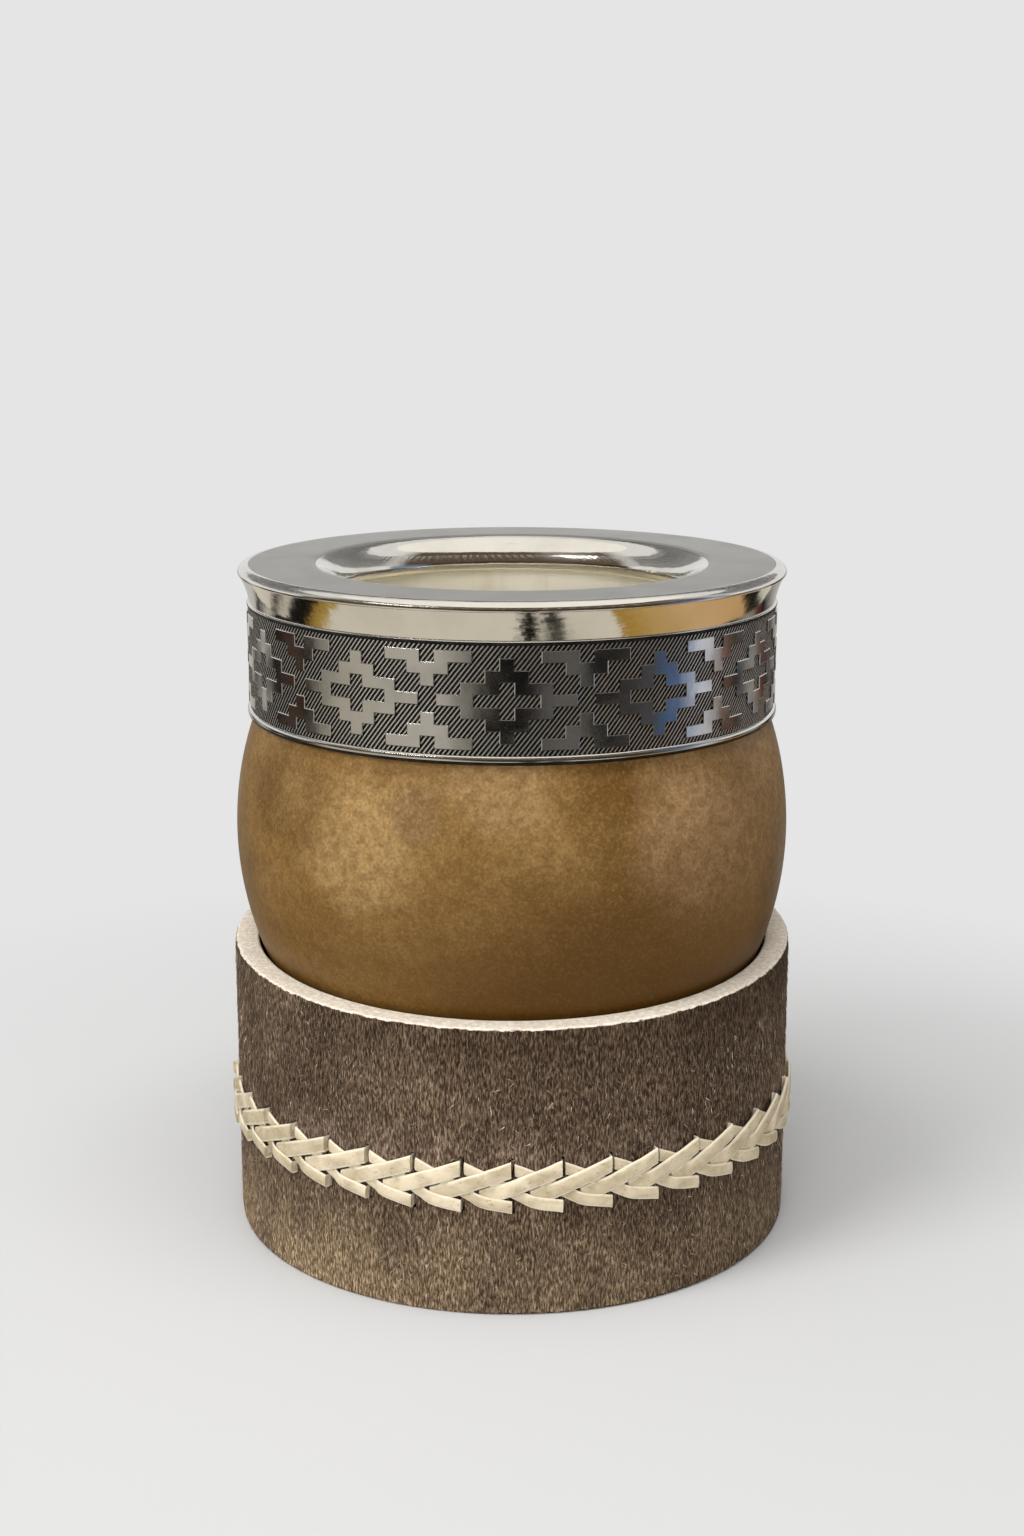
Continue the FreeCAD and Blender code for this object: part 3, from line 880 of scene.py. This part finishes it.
def crown_floor(shape):
    """The faces that look out of the band, not the upright sides."""
    shape.normal_update()
    return [face for face in shape.faces if abs(face.normal.y) > LOOKS_OUT]


def diamond():
    """A stepped diamond, one step wide, with an arm each side and a cross-shaped hollow."""
    widths = [STEM_HALF, STEP_HALF, BODY_HALF, ARM_HALF, BODY_HALF, STEP_HALF, STEM_HALF]
    hollows = {2: STEM_HALF, 3: HOLLOW_HALF, 4: STEM_HALF}
    rows = []
    for row, half in enumerate(widths):
        gap = hollows.get(row)
        rows.append([(-half, -gap), (gap, half)] if gap else [(-half, half)])
    return figure_plate("diamond", rows, FIELD_MIDDLE + MOTIF_ROW * len(widths) / 2)


def stem_figure(up):
    """Two bars that step inwards to a stem, down from the top (up=1) or up from the foot (up=-1)."""
    bars = [(-BODY_HALF, -STEM_HALF), (STEM_HALF, BODY_HALF)]
    rows = [bars, [(-STEP_HALF, STEP_HALF)], [(-STEM_HALF, STEM_HALF)]]
    reach = MOTIF_ROW / 2 + STEM_CLEAR
    if up > 0:
        return figure_plate("stem_down", rows, FIELD_MIDDLE + reach + STEM_ROWS * MOTIF_ROW)
    return figure_plate("stem_up", rows[::-1], FIELD_MIDDLE - reach)


def hatch_ridge():
    """One leaning ridge of the hatching, from bead to bead."""
    rise = FIELD_HIGH - FIELD_LOW
    run = rise / math.tan(HATCH_LEAN)
    section = [(-HATCH_FOOT / 2, -HATCH_ROOT), (HATCH_FOOT / 2, -HATCH_ROOT),
               (HATCH_CREST / 2, HATCH_HEIGHT), (-HATCH_CREST / 2, HATCH_HEIGHT)]
    shape = bmesh.new()
    rows = []
    for step in range(HATCH_STEPS + 1):
        share = step / HATCH_STEPS
        rows.append([shape.verts.new((share * run + along, out, FIELD_LOW + share * rise))
                     for along, out in section])
    loft(shape, rows)
    wrap(shape, BAND_RADIUS)
    return new_object("hatch_ridge", finish_mesh("hatch_ridge", shape, RIDGE_CREASE))


def loft(shape, rows):
    """A closed skin over rows of points, capped at both ends."""
    for before, after in zip(rows, rows[1:]):
        facets(shape, before, after)
    shape.faces.new(rows[0][::-1])
    shape.faces.new(rows[-1])


def strap_section(depth):
    """Half-round-edged flat section of a strap, as (up, out), anticlockwise."""
    half = depth / 2
    thick = STRAP_THICKNESS
    soft = STRAP_SOFT
    crown = thick + STRAP_CROWN
    return [(-half + soft, 0), (half - soft, 0), (half, 0.3 * thick), (half, 0.65 * thick),
            (half - soft, 0.95 * thick), (half * 0.5, crown), (0, crown + 0.3 * STRAP_CROWN),
            (-half * 0.5, crown), (-half + soft, 0.95 * thick),
            (-half, 0.65 * thick), (-half, 0.3 * thick)]


def smooth_step(share, low, high):
    held = min(1.0, max(0.0, (share - low) / (high - low)))
    return held * held * (3 - 2 * held)


def strap_path(way, over_first, depth, bow, end):
    """The way of a strap from an upper slit towards a lower one, as (along, out, up)."""
    reach = STRIDE * TURN * RING_RADIUS / STITCHES
    upper = LACE_MIDDLE + LACE_RISE / 2 + (depth - STRAP_DEPTH) * STRAP_HANG
    shift = SLIT_GAP if way > 0 else -SLIT_GAP * RISING_GAP
    path = []
    for step in range(STRAP_STEPS + 1):
        share = end * step / STRAP_STEPS
        change = smooth_step(share, CROSSING - CROSSING_HALF, CROSSING + CROSSING_HALF)
        level = 1 - change if over_first else change
        out = UNDER_LAYER + (OVER_LAYER - UNDER_LAYER) * level
        sag = math.sin(math.pi * min(1.0, max(0.0, (share - SAG_START) / (1 - SAG_START)))) ** SAG_SHAPE
        along = way * reach * share + (0 if way < 0 else -reach)
        along += shift * (1 - min(1.0, step / SHIFT_STEPS))
        path.append((along, out, upper - LACE_RISE * share - bow * sag))
    return path


def slit_end(spot):
    """Two places that lead from deep in a slit to a strap's end."""
    along, out, up = spot
    return [(along, out - SLIT_REACH - OVER_LAYER, up), (along, out - SLIT_EDGE, up)]


def strap(shape, way, over_first, depth, bow, end):
    """One strap, to a share of its way. way is -1 for one that runs left."""
    path = strap_path(way, over_first, depth, bow, end)
    path = slit_end(path[0]) + path + slit_end(path[-1])[::-1]
    rim = shape.verts.layers.float["edge"]
    rows = []
    section = strap_section(depth)
    for index, (along, out, up) in enumerate(path):
        slit_shade_mask = index in (0, len(path) - 1)
        thick = END_THICK if slit_shade_mask else 1.0
        narrow = END_NARROW if slit_shade_mask else 1.0
        row = []
        for across, rise in section:
            corner = shape.verts.new((along, out + rise * thick, up + across * narrow))
            corner[rim] = abs(across) / (depth / 2)
            row.append(corner)
        rows.append(row)
    loft(shape, rows)


def lace_stitch():
    """A falling strap under a rising strap, with their ends in the slits."""
    shape = bmesh.new()
    shape.verts.layers.float.new("edge")
    strap(shape, 1, False, FALLING_DEPTH, FALLING_BOW, 1.0)
    strap(shape, -1, True, STRAP_DEPTH, 0.0, HIDDEN_END)
    wrap(shape, RING_RADIUS)
    return new_object("lace_stitch", finish_mesh("lace_stitch", shape, LACE_CREASE))


# ---- Geometry Nodes ----
def realized(piece, tree, **values):
    """Run a geometry tree on a piece once and keep the result as its plain mesh."""
    modifier = piece.modifiers.new("make", "NODES")
    modifier.node_group = tree
    for item in tree.interface.items_tree:
        label = item.name.replace(" ", "_").lower()
        if item.in_out == "INPUT" and label in values:
            modifier[item.identifier] = values[label]
    graph = bpy.context.evaluated_depsgraph_get()
    mesh = bpy.data.meshes.new_from_object(piece.evaluated_get(graph), depsgraph=graph)
    piece.modifiers.remove(modifier)
    piece.data = mesh
    mesh.name = piece.name
    return piece


def copies_tree():
    """Copies of one shape turned about the upright axis, each a little uneven, with a tone of its own."""
    inputs = [("Geometry", GEOMETRY, None), ("Count", WHOLE_NUMBER, 8),
              ("First Angle", NUMBER, 0.0), ("Step Angle", NUMBER, 0.1), ("Uneven", NUMBER, 0.0),
              ("Uneven Scale", NUMBER, 100.0), ("Seed", WHOLE_NUMBER, 1), ("Material", FINISH, None)]
    board, given, result = new_group("turned_copies", "GeometryNodeTree", inputs, [("Geometry", GEOMETRY)])
    points = board.add("GeometryNodePoints", {"Count": given["Count"]}).outputs[0]
    index = board.add("GeometryNodeInputIndex").outputs[0]
    angle = board.math("ADD", board.times(index, given["Step Angle"]), given["First Angle"])
    turn = board.add("ShaderNodeCombineXYZ", {"Z": angle}).outputs[0]
    placed = board.add("GeometryNodeInstanceOnPoints", {
        "Points": points, "Instance": given["Geometry"], "Rotation": turn}).outputs[0]
    own = board.random(0.0, 1.0, given["Seed"])
    named = board.store(placed, "copy_tone", own, "FLOAT", "INSTANCE")
    whole = board.add("GeometryNodeRealizeInstances", {"Geometry": named}).outputs[0]
    place = board.add("GeometryNodeInputPosition").outputs[0]
    noise = board.add("ShaderNodeTexNoise", {"Vector": place, "Scale": given["Uneven Scale"], "Detail": 1.0})
    wander = board.vector("SUBTRACT", noise.outputs["Color"], (0.5, 0.5, 0.5))
    offset = board.vector("SCALE", wander, scale=given["Uneven"])
    moved = board.add("GeometryNodeSetPosition", {"Geometry": whole, "Offset": offset}).outputs[0]
    finish = {"Geometry": moved, "Material": given["Material"]}
    coated = board.add("GeometryNodeSetMaterial", finish).outputs[0]
    board.feed(coated, result["Geometry"])
    return board.tree


def hair_tree():
    """Short tapered hairs scattered on a wall, lying down it, curled together in tufts."""
    inputs = [("Geometry", GEOMETRY, None), ("Density", NUMBER, 1e6), ("Seed", WHOLE_NUMBER, 1),
              ("Length", NUMBER, 0.002), ("Thickness", NUMBER, 0.0002), ("Lift", NUMBER, 0.1),
              ("Lean", NUMBER, 0.5), ("Curl", NUMBER, 0.0004), ("Pressed Low", NUMBER, 0.0),
              ("Pressed High", NUMBER, 0.0), ("Material", FINISH, None)]
    board, given, result = new_group("lying_hair", "GeometryNodeTree", inputs, [("Geometry", GEOMETRY)])

    def random(low, high, salt):
        return board.random(low, high, board.math("ADD", given["Seed"], salt))

    scatter = board.add("GeometryNodeDistributePointsOnFaces", {
        "Mesh": given["Geometry"], "Density": given["Density"], "Seed": given["Seed"]})
    normal = scatter.outputs["Normal"]
    spot = board.add("GeometryNodeInputPosition").outputs[0]
    height = board.add("ShaderNodeSeparateXYZ", {"Vector": spot}).outputs["Z"]
    above = board.math("GREATER_THAN", height, given["Pressed Low"])
    pressed = board.times(above, board.math("LESS_THAN", height, given["Pressed High"]))
    loose = board.math("SUBTRACT", 1.0, board.times(pressed, PRESSED_FLAT))
    side = board.vector("CROSS_PRODUCT", normal, (0.0, 0.0, 1.0))
    swing = random(-1.0, 1.0, 11)
    lean = board.times(board.math("POWER", swing, 3.0), given["Lean"])
    lift = board.times(board.times(random(*LIFT_RANGE, 12), given["Lift"]), loose)
    sideways = board.vector("SCALE", side, scale=lean)
    outward = board.vector("SCALE", normal, scale=lift)
    direction = board.vector("ADD", board.vector("ADD", sideways, outward), (0.0, 0.0, -1.0))
    rotation = board.add("FunctionNodeAlignRotationToVector", {"Vector": direction}, axis="Z").outputs[0]
    strand = board.add("GeometryNodeMeshCone", {
        "Vertices": 3, "Side Segments": 2, "Radius Top": 0.0,
        "Radius Bottom": board.times(given["Thickness"], 0.5), "Depth": given["Length"]})
    share = board.math("DIVIDE", height, given["Length"])
    marked = board.store(strand.outputs["Mesh"], "along", share, "FLOAT", "POINT")
    mapped = board.store(marked, "strand_map", strand.outputs["UV Map"], "FLOAT_VECTOR", "CORNER")
    placed = board.add("GeometryNodeInstanceOnPoints", {
        "Points": scatter.outputs["Points"], "Instance": mapped, "Rotation": rotation,
        "Scale": random(*HAIR_SIZES, 13)}).outputs[0]
    toned = board.store(placed, "hair_tone", random(0.0, 1.0, 14), "FLOAT", "INSTANCE")
    index = board.add("GeometryNodeInputIndex").outputs[0]
    counted = board.store(toned, "strand", index, "FLOAT", "INSTANCE")
    whole = board.add("GeometryNodeRealizeInstances", {"Geometry": counted}).outputs[0]
    noise = board.add("ShaderNodeTexNoise", {"Vector": spot, "Scale": TUFT_SCALE, "Detail": 2.0})
    wander = board.vector("SUBTRACT", noise.outputs["Color"], (0.5, 0.5, 0.5))
    bend = board.times(board.stored("along", "FLOAT"), given["Curl"])
    curled = board.add("GeometryNodeSetPosition", {
        "Geometry": whole, "Offset": board.vector("SCALE", wander, scale=bend)}).outputs[0]
    flat_map = patch_map(board, curled, scatter.outputs["Points"])
    finish = {"Geometry": flat_map, "Material": given["Material"]}
    coated = board.add("GeometryNodeSetMaterial", finish).outputs[0]
    board.feed(coated, result["Geometry"])
    return board.tree


def patch_map(board, geometry, points):
    """A UV map that gives each strand a square of its own."""
    size = board.add("GeometryNodeAttributeDomainSize", {"Geometry": points}, component="POINTCLOUD")
    cells = board.math("CEIL", board.math("SQRT", size.outputs["Point Count"]))
    own_number = board.stored("strand", "FLOAT")
    parts = board.add("ShaderNodeSeparateXYZ", {"Vector": board.stored("strand_map", "FLOAT_VECTOR")}).outputs
    row = board.math("FLOOR", board.math("DIVIDE", board.math("ADD", own_number, 0.5), cells))
    column = board.math("SUBTRACT", own_number, board.times(row, cells))
    across = board.math("DIVIDE", board.math("ADD", column, parts["X"]), cells)
    up = board.math("DIVIDE", board.math("ADD", row, parts["Y"]), cells)
    spot = board.add("ShaderNodeCombineXYZ", {"X": across, "Y": up}).outputs[0]
    made = board.store(geometry, "OFBake", spot, "FLOAT2", "CORNER")
    for spent in ("strand_map", "strand"):
        made = board.add("GeometryNodeRemoveAttribute", {"Geometry": made, "Name": spent}).outputs[0]
    return made


COPIES = copies_tree()
HAIR_TREE = hair_tree()


def hair_bed(name, low):
    """The stretch of the ring's outer wall that hairs grow from, up to its slanting edge."""
    rings = [[] for step in range(BED_STEPS + 1)]
    for step, ring in enumerate(rings):
        for turn in range(BED_TURNS):
            angle = TURN * turn / BED_TURNS
            edge = RING_MIDDLE_TOP - RING_RADIUS * math.cos(angle) * math.tan(RING_TOP_SLOPE)
            height = low + (edge - BED_UNDER_EDGE - low) * step / BED_STEPS
            ring.append(point(RING_RADIUS - BED_INSET, angle, height))
    return open_wall(name, rings)


def hair_piece(name, seed, length, lift, lean, curl, material):
    bed = hair_bed(name, length * HAIR_SIZES[1] + BED_CLEAR)
    return realized(bed, HAIR_TREE, density=HAIRS / HAIR_AREA, seed=seed, length=length,
                    thickness=HAIR_THICKNESS, lift=lift, lean=lean, curl=curl,
                    pressed_low=lace_low[2] - PRESS_MARGIN, pressed_high=lace_high[2] + PRESS_MARGIN,
                    material=material)


def band_figures():
    """The stepped figures all round: diamonds, with a stem figure above and below between each two."""
    count = int(TURN * BAND_RADIUS / MOTIF_PITCH)
    pitch = MOTIF_PITCH / BAND_RADIUS
    first = MOTIF_TURN - pitch * (count - 1) / 2
    seam = first - (TURN - pitch * (count - 1)) / 2
    finish = {"step_angle": pitch, "material": FIGURE}
    parts = [realized(diamond(), COPIES, count=count, first_angle=first, **finish)]
    for up in (1, -1):
        for copies, start in ((count - 1, first + pitch / 2), (1, seam)):
            parts.append(realized(stem_figure(up), COPIES, count=copies, first_angle=start, **finish))
    return join("band_figures", parts)


def join(name, parts):
    """Several plain meshes as one piece."""
    whole = bmesh.new()
    for part in parts:
        whole.from_mesh(part.data)
        bpy.data.objects.remove(part)
    return new_object(name, smooth(plain_mesh(name, whole), FIGURE_CREASE), FIGURE)


def turned(name, piece, count, material, uneven, scale, seed=1):
    """Copies of a piece evenly all round, as a piece with a name of its own."""
    made = realized(piece, COPIES, count=count, step_angle=TURN / count, uneven=uneven,
                    uneven_scale=scale, seed=seed, material=material)
    made.name = name
    return made


def band_hatch():
    count = round(TURN * BAND_RADIUS / HATCH_PITCH)
    return turned("band_hatch", hatch_ridge(), count, RIDGE, HATCH_UNEVEN, 900.0)


def lace_straps():
    return turned("lace_straps", lace_stitch(), STITCHES, RAWHIDE, STRAP_UNEVEN, 260.0, 5)


def place(piece, slot_name, *nodes):
    """Hang a piece on the one body and hide the CAD nodes that it stands for. Its slot name is not used."""
    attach(piece, "root")
    if nodes:
        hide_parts(*nodes)


place(gourd_shell(), "gourd_skin", "gourd")
place(rim_ring(), "polished_metal", "rim")
place(band_sleeve(), "engraved_metal", "band")
place(band_figures(), "engraved_metal")
place(band_hatch(), "engraved_metal")
place(lace_straps(), "rawhide", "lace")
place(hair_piece("hair_under", 3, HAIR_LENGTH, 0.10, 0.7, 0.6 * MM, HAIR), "hair_hide")
place(hair_piece("hair_middle", 5, HAIR_LENGTH, 0.13, 1.0, 0.9 * MM, HAIR), "hair_hide")
place(hair_piece("hair_over", 8, HAIR_LENGTH, 0.16, 1.4, 1.2 * MM, HAIR), "hair_hide")
place(hair_piece("hair_stray", 21, STRAY_LENGTH, 0.2, 3.0, 1.2 * MM, STRAY), "hair_hide")

hide_ring = frame["nodes"]["hide_ring"]
hide_ring.data.materials.clear()
hide_ring.data.materials.append(hide_body())


# ---- Stage ----
PAPER = tone(229, 229, 229)                # the pale sweep behind and under the object
FLOOR_LIT = 0.59                 # reflectance of the floor near the object
FLOOR_HALF = 3.0
SHADOW_NEAR = 0.075
SHADOW_FAR = 0.2
SCREEN_SIDES = 64
SCREEN_RADIUS = 0.41
AMBIENT = 0.36
MIDDLE = (0.0, 0.0, 0.06)
CAMERA_PLACE = (0.0, -0.35876, 0.15975)
CAMERA_TILT = math.radians(76.715)
CAMERA_LENS = 52.35
CAMERA_SENSOR = 36.0
CAMERA_NEAR = 0.01


def looked_at(board):
    """1 for rays from the camera, from a mirror or through glass."""
    path = board.add("ShaderNodeLightPath").outputs
    seen = board.math("MAXIMUM", path["Is Camera Ray"], path["Is Glossy Ray"])
    return board.math("MAXIMUM", seen, path["Is Transmission Ray"])


def stage_floor():
    """A pale floor that keeps the object's shadow close by and is even paper further out."""
    material = bpy.data.materials.new("stage_floor")
    board = blank_board(material)
    far = board.span(board.vector("LENGTH", board.own_place()), SHADOW_NEAR, SHADOW_FAR)
    lit = board.add("ShaderNodeBsdfDiffuse", {"Color": (FLOOR_LIT, FLOOR_LIT, FLOOR_LIT, 1)})
    paper = board.add("ShaderNodeEmission", {"Color": PAPER, "Strength": 1.0})
    board.mix_shaders(board.times(far, looked_at(board)), lit, paper)
    mesh = bpy.data.meshes.new("stage_floor")
    half = FLOOR_HALF
    corners = [(-half, -half, 0), (half, -half, 0), (half, half, 0), (-half, half, 0)]
    mesh.from_pydata(corners, [], [(0, 1, 2, 3)])
    new_object("stage_floor", mesh, material)


def mirrored_only(piece):
    """Seen in the metal's reflections and nowhere else."""
    piece.visible_camera = False
    piece.visible_diffuse = False
    piece.visible_shadow = False
    piece.visible_transmission = False


def bearing_place(degrees):
    return (degrees + 180) / 360


def surroundings(name, outline, stops, ragged, scale):
    """A turned glowing screen round the object, coloured by bearing, that only the metal mirrors: it paints
    the reflections that the metal shows.
    """
    material = bpy.data.materials.new(name)
    board = blank_board(material)
    node = board.add("ShaderNodeGroup", {"Ragged": ragged, "Scale": scale}, node_tree=BEARING)
    ramp = board.ramp(node.outputs["Bearing"], [(bearing_place(at), colour) for at, colour in stops])
    glow = board.add("ShaderNodeEmission", {"Color": ramp.outputs["Color"], "Strength": 1.0})
    board.mix_shaders(ramp.outputs["Alpha"], board.add("ShaderNodeBsdfTransparent"), glow)
    angles = [TURN * step / SCREEN_SIDES for step in range(SCREEN_SIDES)]
    rings = [[point(radius, angle, height) for angle in angles] for radius, height in outline]
    mirrored_only(open_wall(name, rings, material))


CLEAR = (0.8, 0.8, 0.78, 0.0)
CREAM = tone(208, 202, 188)
DARK = tone(20, 19, 18)
ROOM = [(-180, tone(200, 198, 192)), (-146, tone(190, 188, 180)), (-140, tone(20, 20, 22)),
        (-128, tone(190, 186, 176)), (-118, tone(18, 18, 20)), (-100, tone(70, 50, 40)),
        (-90, tone(16, 16, 18)), (-80, tone(170, 164, 152)), (-28, tone(186, 181, 172)),
        (-18, tone(120, 116, 110)), (-11, tone(18, 17, 16)), (7, tone(16, 15, 14)),
        (16, tone(96, 94, 92)), (26, tone(92, 90, 88)), (33, tone(26, 26, 26)), (40, tone(30, 30, 30)),
        (56, tone(70, 70, 72)), (63, tone(62, 84, 116)), (72, tone(84, 108, 146)),
        (84, tone(206, 212, 222)), (96, tone(112, 84, 68)), (106, tone(30, 30, 32)),
        (120, tone(150, 148, 144)), (128, tone(96, 60, 42)), (138, tone(14, 14, 16)),
        (152, tone(170, 168, 164)), (179, tone(200, 198, 192))]
TABLE = [(-180, CREAM), (-126, CREAM), (-122, DARK), (-112, CREAM), (-108, DARK), (-96, DARK),
         (-91, tone(150, 122, 60)), (-85, tone(172, 144, 78)), (-81, CREAM), (2, CREAM), (5, tone(14, 12, 8)),
         (9, tone(14, 12, 8)), (12, CREAM), (16, tone(20, 16, 10)), (20, tone(60, 56, 48)),
         (23, CREAM), (44, CREAM),
         (47, tone(160, 126, 52)), (60, tone(180, 148, 92)), (84, tone(200, 166, 122)),
         (116, tone(190, 154, 106)), (119, DARK), (130, DARK), (134, CREAM), (180, CREAM)]
BEHIND = [(-180, DARK), (-104, DARK), (-84, CLEAR), (84, CLEAR), (104, DARK), (180, DARK)]
BEFORE = [(-180, CLEAR), (-110, CLEAR), (-80, tone(96, 84, 70)), (80, tone(92, 80, 66)),
          (110, CLEAR), (180, CLEAR)]
SKY = [(-180, tone(255, 252, 246)), (180, tone(255, 252, 246))]
HORIZON = [(-180, CLEAR), (-96, CLEAR), (-88, tone(58, 46, 34)), (0, tone(66, 52, 38)),
           (56, tone(52, 42, 34)), (70, tone(86, 116, 160)), (92, tone(120, 150, 190)),
           (100, CLEAR), (180, CLEAR)]

# Screens: name, outline as (radius, height), colours by bearing, raggedness of the bounds, its scale. They
# glow, though they are no lamps, and give the metal painted reflections.
SCREENS = [("room_screen", [(0.32, 0.0005), (0.40, 0.001), (SCREEN_RADIUS, 0.095)], ROOM, 0.03, 26.0),
           ("table_screen", [(0.075, 0.0004), (0.32, 0.0004)], TABLE, 0.035, 90.0),
           ("horizon_screen", [(SCREEN_RADIUS, 0.096), (SCREEN_RADIUS, 0.19)], HORIZON, 0.02, 20.0),
           ("back_screen", [(SCREEN_RADIUS, 0.215), (SCREEN_RADIUS, 0.44)], BEHIND, 0.01, 10.0),
           ("sky_screen", [(SCREEN_RADIUS, 0.62), (0.02, 0.62)], SKY, 0.0, 8.0),
           ("front_screen", [(SCREEN_RADIUS, 0.19), (SCREEN_RADIUS, 0.62)], BEFORE, 0.02, 8.0)]

stage_floor()
for screen in SCREENS:
    surroundings(*screen)


def world():
    """Even pale light, with the paper's own tone where the camera or the metal looks at it."""
    made = bpy.data.worlds.new("studio")
    bpy.context.scene.world = made
    board = blank_board(made)
    ambient = board.add("ShaderNodeBackground", {"Color": (1.0, 0.99, 0.97, 1), "Strength": AMBIENT})
    paper = board.add("ShaderNodeBackground", {"Color": PAPER, "Strength": 1.0})
    board.mix_shaders(looked_at(board), ambient, paper, "ShaderNodeOutputWorld")


def softbox(name, place_at, width, height, power, mirrored=False):
    """An oval lamp aimed at the object's middle."""
    data = bpy.data.lights.new(name, "AREA")
    data.shape = "ELLIPSE"
    data.size = width
    data.size_y = height
    data.energy = power
    lamp = bpy.data.objects.new(name, data)
    bpy.context.scene.collection.objects.link(lamp)
    lamp.location = place_at
    lamp.visible_glossy = mirrored
    direction = Vector(MIDDLE) - Vector(place_at)
    lamp.rotation_euler = direction.to_track_quat("-Z", "Y").to_euler()


def camera():
    data = bpy.data.cameras.new("camera")
    data.sensor_width = CAMERA_SENSOR
    data.lens = CAMERA_LENS
    data.clip_start = CAMERA_NEAR
    view = bpy.data.objects.new("camera", data)
    bpy.context.scene.collection.objects.link(view)
    view.location = CAMERA_PLACE
    view.rotation_euler = (CAMERA_TILT, 0.0, 0.0)
    bpy.context.scene.camera = view


world()
softbox("key", (-0.62, -0.5, 0.75), 0.5, 0.5, 6.0, mirrored=True)
softbox("overhead", (0.0, -0.16, 1.0), 0.8, 0.5, 5.5)
softbox("front_fill", (-0.1, -1.15, 0.34), 0.9, 0.3, 7.0)
camera()
bpy.context.scene.view_settings.view_transform = "Standard"
